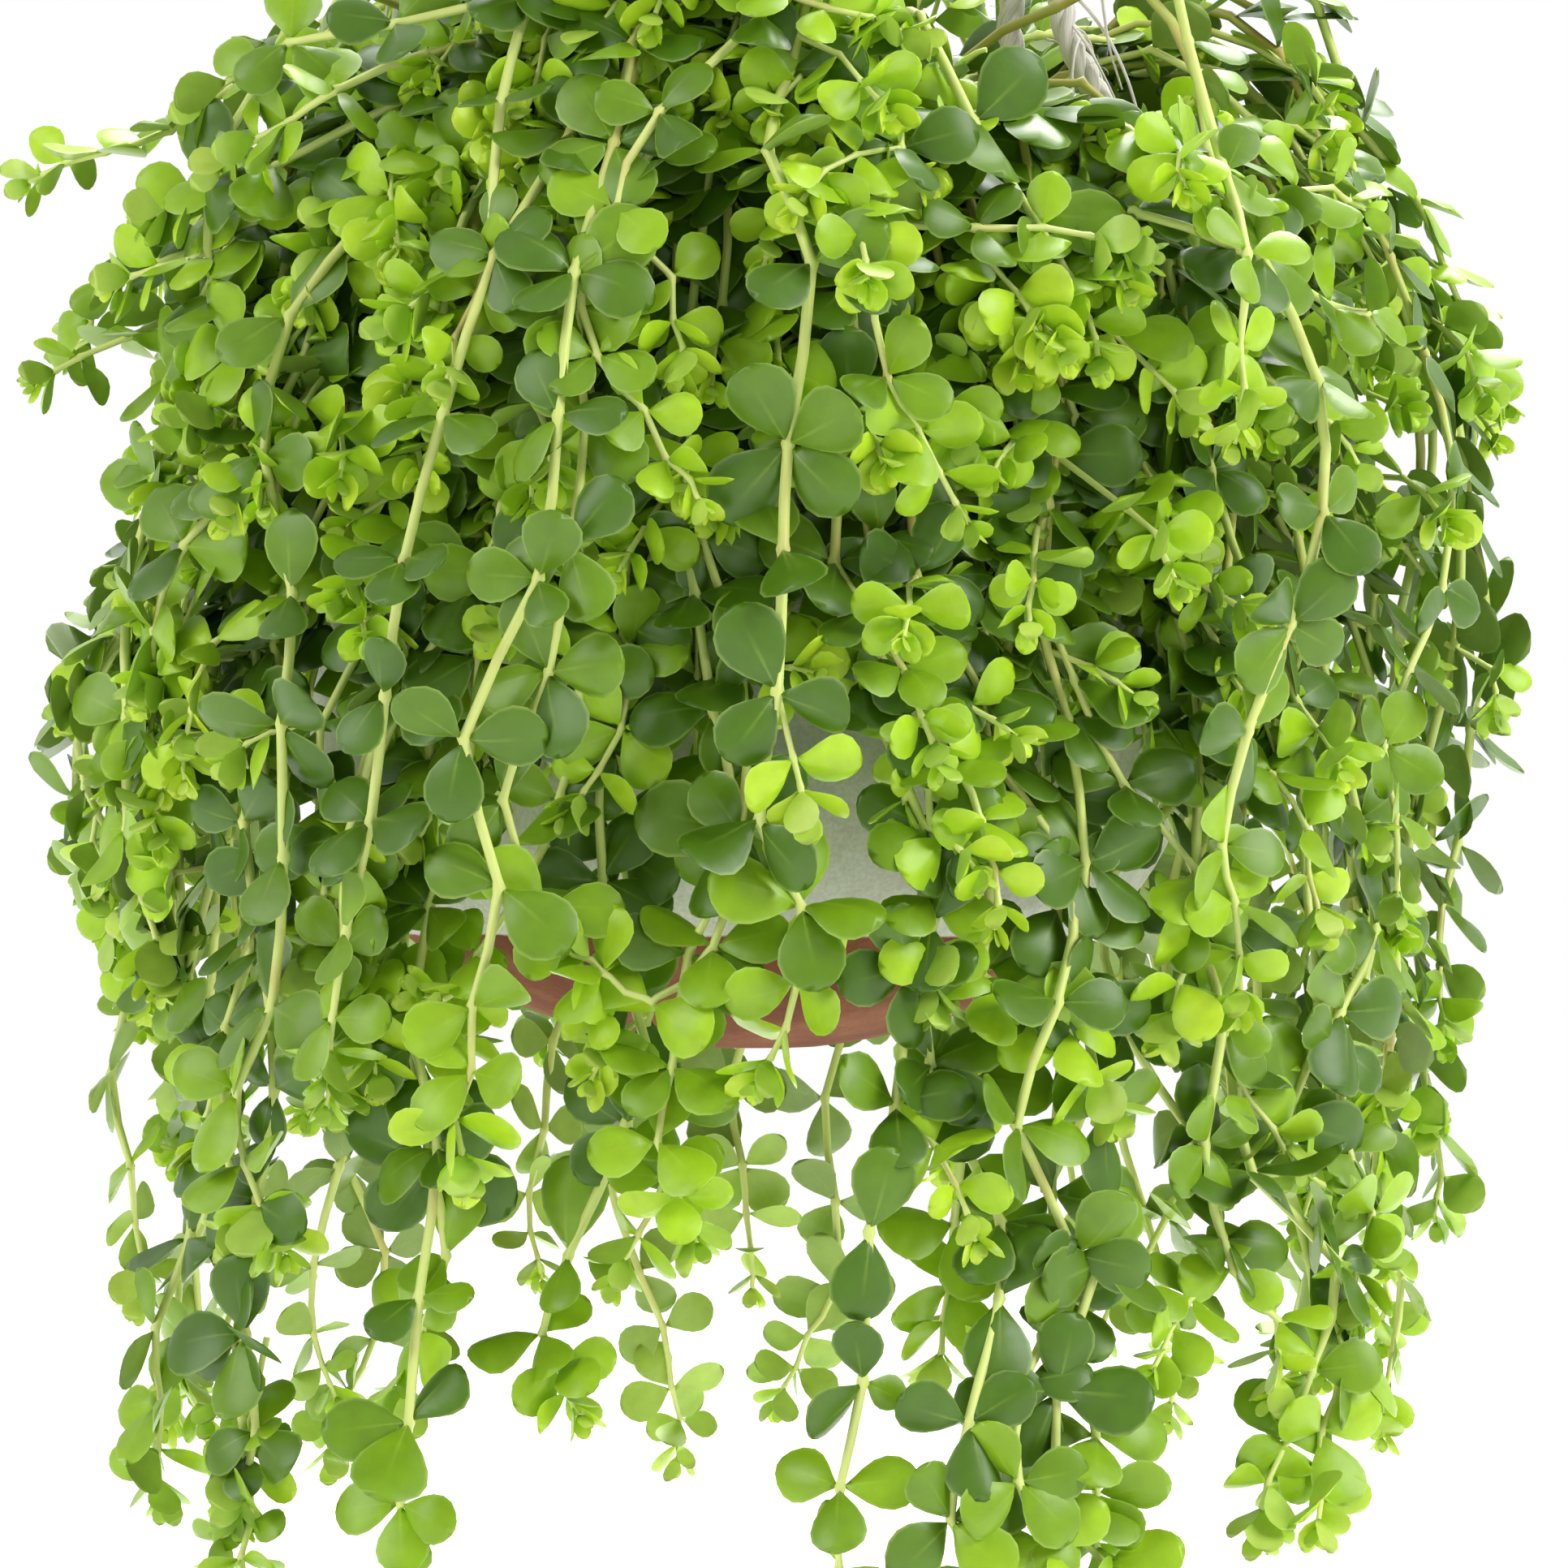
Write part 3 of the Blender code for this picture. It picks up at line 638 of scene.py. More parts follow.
def makePot():
    # a thrown bowl: rounded foot, near-straight wall, rolled rim and three holes for the ropes
    p = potPlan
    half = p["wall"] / 2
    inner = ellipseArc(p["bowlHeight"], (potRadius - p["wall"], p["bowlHeight"] - p["wall"]), -90, 0, 18)
    climb = [(potRadius - p["wall"] - (potRadius - p["rimRadius"]) * k / 8,
              p["bowlHeight"] + (rimZ - footZ - half - p["bowlHeight"]) * k / 8) for k in range(1, 8)]
    lip = [(r + p["rimRadius"] - half, z)
           for r, z in ellipseArc(rimZ - footZ - half, (half, half), 180, 0, 9)]
    fall = [(r + p["wall"], z) for r, z in climb[::-1]]
    angle = math.acos(p["footRadius"] / potRadius)
    drop = p["bowlHeight"] / math.sin(angle)
    bowl = ellipseArc(p["bowlHeight"], (potRadius, drop), 0, -math.degrees(angle), 22)
    profile = inner + climb + lip + fall + bowl + [(0, 0)]
    mesh = bpy.data.meshes.new("dipped_pot")
    mesh.from_pydata([(max(r, 0), 0, footZ + z) for r, z in profile],
                     [(i, i + 1) for i in range(len(profile) - 1)], [])
    pot = pieceFrom("dipped_pot", mesh)
    turn = pot.modifiers.new("Turn", "SCREW")
    turn.steps = turn.render_steps = p["segments"]
    turn.use_merge_vertices = True
    turn.merge_threshold = 0.0001
    plainMesh(pot)
    cutters = []
    for azimuth in ropePlan["azimuths"].values():
        shape = bmesh.new()
        bmesh.ops.create_cone(shape, cap_ends=True, segments=32, radius1=p["holeRadius"],
                              radius2=p["holeRadius"], depth=p["wall"] * 5)
        turned = Matrix.Rotation(math.radians(azimuth), 4, "Z") @ Matrix.Rotation(math.radians(90), 4, "Y")
        place = polar(p["rimRadius"] - half, azimuth, rimZ - ropePlan["holeDrop"])
        bmesh.ops.transform(shape, matrix=Matrix.Translation(place) @ turned, verts=shape.verts)
        cutters.append(pieceFrom("rod", meshFrom("rod", shape)))
        cut = pot.modifiers.new("Hole", "BOOLEAN")
        cut.operation = "DIFFERENCE"
        cut.object = cutters[-1]
    plainMesh(pot)
    for cutter in cutters:
        bpy.data.objects.remove(cutter, do_unlink=True)
    for vertex in pot.data.vertices:
        x, y, z = vertex.co
        azimuth, height = math.atan2(y, x), (z - footZ) / (rimZ - footZ)
        wobble = p["wobble"] * (math.sin(2 * azimuth + 1.1) + 0.5 * math.sin(5 * azimuth + 14 * height))
        if math.hypot(x, y) > 0.001:
            vertex.co = Vector((x, y, z)) + Vector((x, y, 0)).normalized() * wobble * min(1, height * 2)
    pot.data.materials.clear()
    pot.data.materials.append(potMaterial)
    pot.data.shade_smooth()
    intoFrame(pot, "pot")


makePot()
print("pot made")


# potting mix

mixPlan = {"rings": 16, "spokes": 60, "gap": 0.0006, "relief": 0.0035, "sink": 0.0008, "edge": 0.010,
           "waves": 7, "crumbs": 420, "crumbSize": 0.0026, "crumbShape": (0.7, 1.15), "seed": 5}


def crumbTree():
    # scatters crumbs over the top of the mix
    tree, given, result = newTree("crumbScatter", [
        ("Crumb", "Object", None), ("Count per Area", "Float", 1e5), ("Size", "Float", 0.002),
        ("Seed", "Int", 0), ("Material", "Material", None)])
    normal = addNode(tree, "GeometryNodeInputNormal").outputs[0]
    up = addNode(tree, "ShaderNodeSeparateXYZ", None, {0: normal}).outputs[2]
    top = addNode(tree, "FunctionNodeCompare", {"data_type": "FLOAT", "operation": "GREATER_THAN"},
                  {0: up, 1: 0.6})
    points = addNode(tree, "GeometryNodeDistributePointsOnFaces", {"distribute_method": "RANDOM"},
                     {"Mesh": given["Geometry"], "Selection": top.outputs[0],
                      "Density": given["Count per Area"], "Seed": given["Seed"]})
    turn = addNode(tree, "FunctionNodeRandomValue", {"data_type": "FLOAT_VECTOR"},
                   {"Min": (0, 0, 0), "Max": (6.28, 6.28, 6.28), "Seed": given["Seed"]}).outputs[0]
    size = addNode(tree, "FunctionNodeRandomValue", {"data_type": "FLOAT"},
                   {2: 0.35, 3: 1.0, "Seed": given["Seed"]})
    scale = addNode(tree, "ShaderNodeMath", {"operation": "MULTIPLY"}, {0: size.outputs[1], 1: given["Size"]})
    crumb = addNode(tree, "GeometryNodeObjectInfo", {"transform_space": "ORIGINAL"},
                    {"Object": given["Crumb"]})
    placed = addNode(tree, "GeometryNodeInstanceOnPoints", None,
                     {"Points": points.outputs[0], "Instance": crumb.outputs["Geometry"], "Rotation": turn,
                      "Scale": scale.outputs[0]}).outputs[0]
    real = addNode(tree, "GeometryNodeRealizeInstances", None, {"Geometry": placed}).outputs[0]
    joined = addNode(tree, "GeometryNodeJoinGeometry")
    tree.links.new(given["Geometry"], joined.inputs[0])
    tree.links.new(real, joined.inputs[0])
    coated = addNode(tree, "GeometryNodeSetMaterial", None,
                     {"Geometry": joined.outputs[0], "Material": given["Material"]}).outputs[0]
    tree.links.new(coated, result["Geometry"])
    return tree


def makeSoil():
    # peat mix filled to below the rim, heaped a little and uneven, with loose crumbs on top
    p, bowl = mixPlan, potPlan["bowlHeight"]
    low, high = boxOf("potting_mix")
    topRadius = ropePlan["rimRadius"] - potPlan["wall"] + p["gap"]
    bowlRadius, depth = potRadius - potPlan["wall"] - p["gap"], bowl - potPlan["wall"] - p["gap"]
    shape = bmesh.new()
    random.seed(p["seed"])
    waves = [(random.uniform(40, 160), random.uniform(0, 6.3), random.uniform(0, 6.3))
             for _ in range(p["waves"])]
    profile = [(topRadius * (1 - k / p["rings"]), high.z) for k in range(p["rings"])][::-1]
    wall = [(topRadius - 0.0005, high.z - p["edge"]), (bowlRadius, footZ + bowl)]
    floor = [(r, footZ + z) for r, z in ellipseArc(bowl, (bowlRadius, depth), -8, -82, 8)]
    rings = []
    for r, z in profile + wall + floor:
        ring = []
        for k in range(p["spokes"]):
            point = polar(r, 360 * k / p["spokes"], z)
            if z == high.z:
                lift = sum(math.sin(f * point.x + a) * math.cos(f * point.y + b)
                           for f, a, b in waves) / p["waves"]
                point.z += p["relief"] * lift * 2 * min(1, (topRadius - r) / p["edge"]) - p["sink"]
            ring.append(shape.verts.new(point))
        rings.append(ring)
    for upper, lower in zip(rings, rings[1:]):
        for k in range(p["spokes"]):
            n = (k + 1) % p["spokes"]
            shape.faces.new((upper[n], upper[k], lower[k], lower[n]))
    for ring, z, flip in ((rings[0], high.z, False), (rings[-1], low.z, True)):
        middle = shape.verts.new((0, 0, z))
        for k in range(p["spokes"]):
            n = (k + 1) % p["spokes"]
            shape.faces.new((ring[n], ring[k], middle) if flip else (ring[k], ring[n], middle))
    bmesh.ops.recalc_face_normals(shape, faces=shape.faces)
    mesh = meshFrom("peat_mix", shape)
    mesh.shade_smooth()
    soil = pieceFrom("peat_mix", mesh)
    crumbShape = bmesh.new()
    bmesh.ops.create_icosphere(crumbShape, subdivisions=1, radius=1)
    for vertex in crumbShape.verts:
        vertex.co *= random.uniform(*p["crumbShape"])
    crumb = pieceFrom("crumb", meshFrom("crumb", crumbShape))
    growWith(soil, crumbTree(), {"Crumb": crumb, "Count per Area": p["crumbs"] / (math.pi * topRadius ** 2),
                                 "Size": p["crumbSize"], "Seed": p["seed"], "Material": soilMaterial})
    bpy.data.objects.remove(crumb, do_unlink=True)
    intoFrame(soil, "potting_mix")


makeSoil()
print("potting mix made")


# vines

vinePlan = {
    "seed": 29, "routePoints": 60, "ropeBerth": 9.0, "sway": 9.0, "stemRise": 0.010, "seatGap": 0.0003,
    "spreads": (0.6180339887, 0.7548776662, 0.5698402910, 0.8191725134, 0.4142135624, 0.7320508076),
    "stemRadius": 0.00120, "tipRadius": 0.00065, "nodeSwell": 1.3, "nodeLength": 0.0016, "stemSides": 5,
    "kink": 0.0019, "kinkEase": (0.03, 0.04), "wander": 0.0062, "wanderSpans": (0.08, 0.20),
    "wanderEase": 0.09, "looseLead": 0.4, "looseShoot": 0.35, "gapMargin": 0.007, "tipGap": 0.006,
    "footGap": 0.008, "bare": 0.045, "leafLength": 0.0170, "internode": (0.026, 0.036),
    "tipWhorls": (0.0006, 0.0026, 0.0065, 0.0130, 0.0235, 0.0400),
    "tipLeaves": (0.0050, 0.0080, 0.0104, 0.0128, 0.0149, 0.0162),
    "taperLength": 0.06, "ageLength": 0.30, "bowFrom": 0.012, "jointFrom": 0.004,
    "shootChance": (0.05, 0.26), "shootLength": (0.018, 0.060), "shootFrom": 0.05, "shootHeight": 0.16,
    "spread": 0.204, "easedFrom": 0.17, "ease": 0.75,
    # how far below the rim the longest vines hang, by azimuth from the left through the front
    "hem": (
        (0, 0.205), (25, 0.230), (45, 0.250), (68, 0.262), (72, 0.258), (92, 0.262), (98, 0.290),
        (132, 0.300), (150, 0.300), (172, 0.255), (190, 0.250), (225, 0.290), (250, 0.275),
        (290, 0.290), (330, 0.265), (360, 0.240)),
    # the plant's radius by height above the rim, on the right and on the left
    "girth": (
        (-0.340, 0.158, 0.150), (-0.256, 0.160, 0.152), (-0.205, 0.160, 0.148), (-0.165, 0.166, 0.162),
        (-0.130, 0.186, 0.172), (-0.090, 0.204, 0.152), (-0.048, 0.198, 0.132), (-0.020, 0.176, 0.120),
        (0.014, 0.142, 0.104), (0.056, 0.130, 0.084), (0.120, 0.106, 0.074)),
}
# each family: how many lead vines, the first one's azimuth, the vines beside each and the liners inside
# them in front, the share of the way that short, long and lining ones grow, how far they lean out and
# sway aside, and the marks that their routes pass between, as (radius, height above the rim) least and most
vineFamilies = {
    "skirt": {
        "count": 12, "first": -96.0, "kin": 9, "liners": 9, "short": (0.40, 0.62), "long": (0.62, 0.95),
        "lining": (0.44, 0.70), "lean": (-0.2, 1.0), "sway": 20,
        "marks": (
            (0.076, -0.030, 0.084, -0.030), (0.092, 0.006, 0.098, 0.016), (0.124, 0.000, 0.134, 0.008),
            (0.134, -0.080, 0.150, -0.092), (0.134, -0.180, 0.164, -0.192), (0.126, -0.276, 0.176, -0.322)),
        # trailers, as (azimuth, how far below the rim its tip hangs)
        "extras": (
            (-126, 0.205), (-118, 0.222), (-111, 0.196), (-99, 0.185), (-155, 0.318), (-139, 0.330),
            (-129, 0.340), (-117, 0.345), (-84, 0.344), (-76, 0.346), (-70, 0.340), (-63, 0.346),
            (-54, 0.330), (-37, 0.320), (0, 0.290), (28, 0.305), (52, 0.325), (76, 0.322), (104, 0.340),
            (131, 0.335), (158, 0.318), (176, 0.280)),
    },
    "cascade": {
        "count": 9, "first": -80.0, "kin": 9, "short": (0.42, 0.64), "long": (0.66, 1.0), "lean": (-0.5, 1.0),
        "sway": 26,
        "marks": (
            (0.046, -0.030, 0.056, -0.030), (0.074, 0.030, 0.084, 0.044), (0.128, 0.036, 0.142, 0.050),
            (0.166, -0.030, 0.180, -0.020), (0.178, -0.120, 0.196, -0.110), (0.180, -0.190, 0.200, -0.262)),
    },
    "spray": {
        "count": 7, "first": -101.0, "kin": 10, "short": (0.30, 0.60), "long": (0.60, 1.0),
        "lean": (-1.8, 0.5), "sway": 62, "internode": (0.030, 0.043),
        "marks": (
            (0.016, -0.030, 0.026, -0.030), (0.040, 0.050, 0.050, 0.066), (0.092, 0.074, 0.104, 0.092),
            (0.150, 0.058, 0.164, 0.078), (0.192, -0.004, 0.202, 0.030), (0.198, -0.076, 0.206, -0.030)),
        # sprigs, as (azimuth, sway, height of the tip above the rim, its radius)
        "extras": (
            (-28, 6, -0.018, 0.204), (-38, 8, -0.044, 0.200), (-14, -4, -0.062, 0.206),
            (-22, 10, 0.012, 0.182), (-44, 16, 0.040, 0.168), (-58, 22, 0.018, 0.172),
            (-62, -34, 0.010, 0.158), (-118, 46, 0.020, 0.150), (-134, 38, 0.034, 0.142),
            (-96, -40, -0.004, 0.162), (-75, 30, -0.022, 0.172), (-110, -38, -0.030, 0.170),
            (-128, -30, 0.024, 0.158), (-150, -14, 0.000, 0.186), (-146, -20, -0.046, 0.192),
            (-84, 34, 0.036, 0.140), (-50, -28, 0.034, 0.146), (-88, -66, 0.034, 0.152),
            (-82, -58, 0.012, 0.158), (-95, -56, -0.012, 0.168), (-104, 62, 0.002, 0.158),
            (-98, 72, 0.036, 0.146), (-112, 50, -0.030, 0.166), (-76, 60, -0.006, 0.170),
            (-68, 56, 0.030, 0.160), (-84, 58, -0.040, 0.178), (-120, -48, -0.036, 0.178),
            (60, -30, 0.030, 0.160), (110, 24, 0.010, 0.170), (140, -20, 0.030, 0.165),
            (20, 18, 0.020, 0.170)),
    },
}
leafForm = {
    "width": 0.78, "thickness": 0.09, "youngBelow": 0.0105, "fold": 0.22, "curl": 0.5,
    "outline": ((0.04, 0.045), (0.14, 0.155), (0.28, 0.315), (0.44, 0.445), (0.61, 0.50), (0.77, 0.455),
                (0.90, 0.315), (0.975, 0.15)),
    "youngOutline": ((0.07, 0.12), (0.30, 0.36), (0.56, 0.46), (0.79, 0.40), (0.95, 0.19)),
    # how leaves sit: whorl sizes and their odds, tilt from the stem, the lift towards the light and the fall
    "whorls": (2, 3, 4), "odds": (0.22, 0.46, 0.32), "pairBelow": 0.004, "turnSpread": 0.3, "splay": 0.12,
    "lean": (15, 68, 0.026, 0.75), "tilt": (14, 18), "settleLength": 0.030, "lift": (0.24, 0.22),
    "fall": 0.10, "flatness": 0.9, "facingSpread": 0.34, "lengthSpread": 0.085, "sizeSpread": 0.08,
    "vigour": (0.86, 1.14), "toneSpread": 0.5, "ageLength": 0.062, "agePower": 0.7,
    "curlSpread": (-0.18, 0.35), "foldSpread": (-0.22, 0.28), "mostFold": 0.16,
    # painted shade for leaves deep inside the plant: where it starts inside the girth, the depth over which
    # it grows, and its most
    "shadeDepth": 0.025, "shadeLength": 0.05, "mostShade": 0.8,
}
# how a neighbour leans and flares against its lead, how it fans out beside it and how far it is drawn in
kinPlan = {
    "oddLean": 0.25, "flare": (-0.2, 1.0), "flareTurn": 0.6, "jitter": 0.2, "beside": (0.1, 0.9),
    "wideChance": 0.2, "wideSway": 2.2, "fanOut": (28.0, 16.0), "fanBack": 0.75, "fanSway": 1.5,
    "inward": (-0.6, -0.1), "swayEase": 1.4, "fewestPoints": 12, "loose": (0.0, 0.3), "strayChance": 0.12,
    "strayLoose": 0.6, "thickness": (0.78, 1.1),
}
trailerPlan = {"reach": (0.5, 1.0), "rootDrift": 6, "drift": 7, "tipRadius": (0.158, 0.172), "swayEase": 1.4}
# a sprig's marks as (radius, height): its root above the rim, then its arch above its tip
sprigPlan = {
    "root": ((0.024, -0.030), (0.046, 0.046)), "arch": ((0.084, 0.040), (0.120, 0.034), (0.152, 0.018)),
    "farSway": 40, "farEase": 2.2, "nearEase": 1.3,
}
shootPlan = {
    "steps": 9, "points": 24, "light": (0.5, 1.0), "ahead": (-0.1, 0.8), "aside": (-0.9, 0.9),
    "spread": 0.4, "droop": (0.04, 0.16), "droopLength": 0.04, "thickness": 0.8,
}
upward = Vector((0, 0, 1))
# gaps in the crown that the ropes rise through: each one's sides, its lowest point above the rim and its
# far side
ropeGaps = ((0.053, 0.096, 0.022, -0.030), (0.018, 0.046, 0.042, 0.090), (-0.102, -0.076, 0.044, 0.0))


def clearOfRopes(azimuth):
    for ropeAzimuth in ropePlan["azimuths"].values():
        off = (azimuth - ropeAzimuth + 180) % 360 - 180
        if abs(off) < vinePlan["ropeBerth"]:
            return ropeAzimuth + math.copysign(vinePlan["ropeBerth"], off)
    return azimuth


def vineRoute(family, root, sway, reaches, ease=2.0, end=None):
    # a route that leaves the mix upright and passes each of its family's marks, or ends at a place of its own
    marks = vineFamilies[family]["marks"]
    points = []
    for k, (radius, height, farRadius, farHeight) in enumerate(marks):
        reach = reaches[k]
        azimuth = root + sway * (k / (len(marks) - 1)) ** ease
        points.append(polar(radius + (farRadius - radius) * reach, azimuth,
                            rimZ + height + (farHeight - height) * reach))
    if end:
        points[-1] = end
    points[0].z += vinePlan["seatGap"]
    points.insert(1, points[0] + Vector((0, 0, vinePlan["stemRise"])))
    return smoothRoute(points, vinePlan["routePoints"])


def leadRoute(family, number):
    plan, spreads = vineFamilies[family], vinePlan["spreads"]
    share = [(0.5 + (number + 1) * spread) % 1 for spread in spreads]
    root = clearOfRopes(plan["first"] + 360 * (number + 0.3 * (share[0] - 0.5)) / plan["count"])
    return root, vineRoute(family, root, vinePlan["sway"] * (2 * share[1] - 1),
                           [share[2 + k % 4] for k in range(len(plan["marks"]))])


def kinRoute(family, root, number):
    # a neighbour of a lead vine: it starts beside it, flares more or less and may stop sooner
    p, plan = kinPlan, vineFamilies[family]
    lean = random.uniform(*plan["lean"]) + (p["oddLean"] if number % 2 else 0)
    flare, last = random.uniform(*p["flare"]), len(plan["marks"]) - 1
    reaches = [lean + flare * (k / last - p["flareTurn"]) + random.uniform(-p["jitter"], p["jitter"])
               for k in range(last + 1)]
    spacing = 360 / plan["count"]
    azimuth = root + spacing * (((number + random.uniform(*p["beside"])) / plan["kin"]) % 1 - 0.5)
    fan = p["fanOut"][math.cos(math.radians(azimuth)) > 0] * math.sin(math.radians(2 * (azimuth + 90)))
    sway = random.uniform(-1, 1) * plan["sway"] * (p["wideSway"] if random.random() < p["wideChance"] else 1)
    wanted = azimuth - fan * p["fanBack"]
    azimuth = clearOfRopes(wanted)
    sway += (fan + (wanted - azimuth + 180) % 360 - 180) * p["fanSway"]
    kind = "lining" if number >= plan["kin"] else "long" if number % 2 else "short"
    if kind == "lining":
        reaches = [reach - lean + random.uniform(*p["inward"]) for reach in reaches]
    route = vineRoute(family, azimuth, sway, reaches, p["swayEase"])
    grown = random.uniform(*plan[kind])
    loose = p["strayLoose"] if random.random() < p["strayChance"] else random.uniform(*p["loose"])
    kept = [drawnIn(point, loose) for point in route[:max(p["fewestPoints"], round(len(route) * grown))]]
    return smoothRoute(wandered(trimmedToHem(kept)), vinePlan["routePoints"])


def trailerRoute(azimuth, low):
    # a vine that hangs lower than its neighbours, almost plumb
    p = trailerPlan
    reaches = [random.uniform(*p["reach"]) for _ in vineFamilies["skirt"]["marks"]]
    root = clearOfRopes(azimuth + random.uniform(-p["rootDrift"], p["rootDrift"]))
    drift = random.uniform(-p["drift"], p["drift"])
    end = polar(random.uniform(*p["tipRadius"]), azimuth + drift, rimZ - low)
    route = vineRoute("skirt", root, drift, reaches, p["swayEase"], end)
    return smoothRoute(wandered(route), vinePlan["routePoints"])


def sprigRoute(azimuth, sway, height, reach):
    # a vine that arches over the crown and stands out of it, its end at this height above the rim
    p = sprigPlan
    marks = [*p["root"], *((radius, height + above) for radius, above in p["arch"]), (reach, height)]
    ease = p["farEase"] if abs(sway) > p["farSway"] else p["nearEase"]
    points = [polar(radius, clearOfRopes(azimuth) + sway * (k / (len(marks) - 1)) ** ease, rimZ + z)
              for k, (radius, z) in enumerate(marks)]
    points.insert(1, points[0] + Vector((0, 0, vinePlan["stemRise"])))
    return smoothRoute(wandered(smoothRoute(points, vinePlan["routePoints"])), vinePlan["routePoints"])


def lowestAt(azimuth):
    # how far below the rim the longest vines hang: less at the sides, and parted in the middle of the front
    around = (azimuth + 180) % 360
    spots = vinePlan["hem"]
    for (a, low), (b, nextLow) in zip(spots, spots[1:]):
        if a <= around <= b:
            return low + (nextLow - low) * (around - a) / (b - a)
    return spots[-1][1]


def trimmedToHem(route):
    for k, point in enumerate(route):
        azimuth = math.degrees(math.atan2(point.y, point.x))
        if point.z < rimZ - lowestAt(azimuth) and k > kinPlan["fewestPoints"]:
            return route[:k]
    return route


def wandered(route):
    # slow bends to either side, none at the root
    p, marks = vinePlan, marksAlong(route)
    waves = [(random.uniform(*p["wanderSpans"]), random.uniform(0, math.tau), random.uniform(0.4, 1))
             for _ in range(4)]
    bent = []
    for point, at in zip(route, marks):
        side = Vector((-point.y, point.x, 0)).normalized()
        out = Vector((point.x, point.y, 0)).normalized()
        ease = min(1, at / p["wanderEase"]) ** 2
        swing = [size * math.sin(math.tau * at / span + phase) for span, phase, size in waves]
        aside = side * (swing[0] + swing[1]) + (out * 0.8 + upward * 0.3) * (swing[2] * 0.8 + swing[3] * 0.4)
        bent.append(point + aside * ease * p["wander"] * (0.7 + at / marks[-1]))
    return bent


def shootRoute(base, tangent, light):
    # a side shoot: it sets out towards the light, then bends over under its own weight
    p = shootPlan
    heading = (light * random.uniform(*p["light"]) + tangent * random.uniform(*p["ahead"])
               + tangent.cross(light) * random.uniform(*p["aside"])).normalized()
    length, steps, (first, more) = random.uniform(*vinePlan["shootLength"]), p["steps"], p["droop"]
    droop = Vector((heading.x * p["spread"], heading.y * p["spread"], -1)).normalized()
    points, here = [base], base
    for k in range(steps):
        heading = (heading + droop * (first + more * k / steps) * length / p["droopLength"]).normalized()
        here = here + heading * length / steps
        points.append(here)
    return smoothRoute(points, p["points"])


def girthAt(point):
    # how wide the mass of the plant is at this height: fuller on the right than on the left
    height, left = point.z - rimZ, max(0.0, -point.x / max(0.01, math.hypot(point.x, point.y)))
    spots = vinePlan["girth"]
    for (a, wide, narrow), (b, nextWide, nextNarrow) in zip(spots, spots[1:]):
        if a <= height <= b:
            t = (height - a) / (b - a)
            full = wide + (nextWide - wide) * t
            return full + (narrow + (nextNarrow - narrow) * t - full) * left
    return spots[0][1]


def drawnIn(point, loose):
    radius, most = math.hypot(point.x, point.y), girthAt(point)
    if radius <= most:
        return point
    drawn = (most + (radius - most) * loose) / radius
    return Vector((point.x * drawn, point.y * drawn, point.z))


def inRopeGap(point, margin=0.0, gaps=ropeGaps):
    return any(left - margin < point.x < right + margin and point.z > rimZ + low - margin and point.y < far
               for left, right, low, far in gaps)


def lightAt(point, tangent):
    # the side of a stem that the light comes from, square to the stem
    out = Vector((point.x, point.y, 0)) / max(0.06, math.hypot(point.x, point.y))
    towards = out + upward * 0.6
    return (towards - tangent * towards.dot(tangent)).normalized()


def shadeAt(point):
    # painted shade: leaves deep inside the plant are given darker colours, where the plant's own shade falls
    depth = girthAt(point) - leafForm["shadeDepth"] - math.hypot(point.x, point.y)
    return min(leafForm["mostShade"], max(0, depth / leafForm["shadeLength"]))


def withinReach(point):
    # keeps a stem off the pot's wall and inside the plant's spread
    p, radius = vinePlan, math.hypot(point.x, point.y)
    wanted = min(radius, p["spread"])
    if radius > p["easedFrom"]:
        wanted = min(p["easedFrom"] + (radius - p["easedFrom"]) * p["ease"], p["spread"])
    if footZ + 0.03 < point.z < rimZ - 0.002 and radius > potRadius - 0.012:
        wanted = max(wanted, potRadius + 0.004)
    return Vector((point.x * wanted / radius, point.y * wanted / radius, point.z)) if radius > 0.01 else point


def nodesAlong(length, internode, bare):
    # each node's distance from the tip and its leaves' length; none on a route too short for a whorl
    p = vinePlan
    tip = [distance for distance in p["tipWhorls"] if distance < length - p["tipGap"]]
    if not tip:
        return []
    nodes = list(zip(tip, p["tipLeaves"]))
    at = tip[-1] + random.uniform(*internode) * 0.8
    while at < length - p["footGap"]:
        leafy = at < length - bare
        nodes.append((at, p["leafLength"] * random.gauss(1, leafForm["lengthSpread"]) if leafy else 0))
        at += random.uniform(*internode)
    return nodes


def stemInto(bundle, path, thick):
    # the stem's points: it tapers to its tip, swells at its nodes and bows a little between them
    p, first = vinePlan, len(bundle["stemPoints"])

    def ring(place, left, swell=1.0):
        bundle["stemPoints"].append(place)
        thinned = (thick - p["tipRadius"]) * min(1, left / p["taperLength"])
        bundle["stemRadius"].append((p["tipRadius"] + thinned) * swell)
        bundle["stemAge"].append(min(1, left / p["ageLength"]))

    spots = [spot[0] for spot in path]
    ring(spots[0], path[0][1])
    for k in range(1, len(spots)):
        span = spots[k] - spots[k - 1]
        before, after = spots[max(0, k - 2)], spots[min(len(spots) - 1, k + 1)]
        left = path[k][1]
        if span.length > p["bowFrom"]:
            bow = (9 * (spots[k - 1] + spots[k]) - before - after) / 16
            ring(bow, left + span.length / 2)
        if left > p["jointFrom"] and span.length > p["jointFrom"]:
            ring(spots[k] - span.normalized() * p["nodeLength"], left)
            ring(spots[k], left, p["nodeSwell"])
            ring(spots[k] + (after - spots[k]).normalized() * p["nodeLength"], left)
        else:
            ring(spots[k], left)
    bundle["stemEdges"] += [(k, k + 1) for k in range(first, len(bundle["stemPoints"]) - 1)]


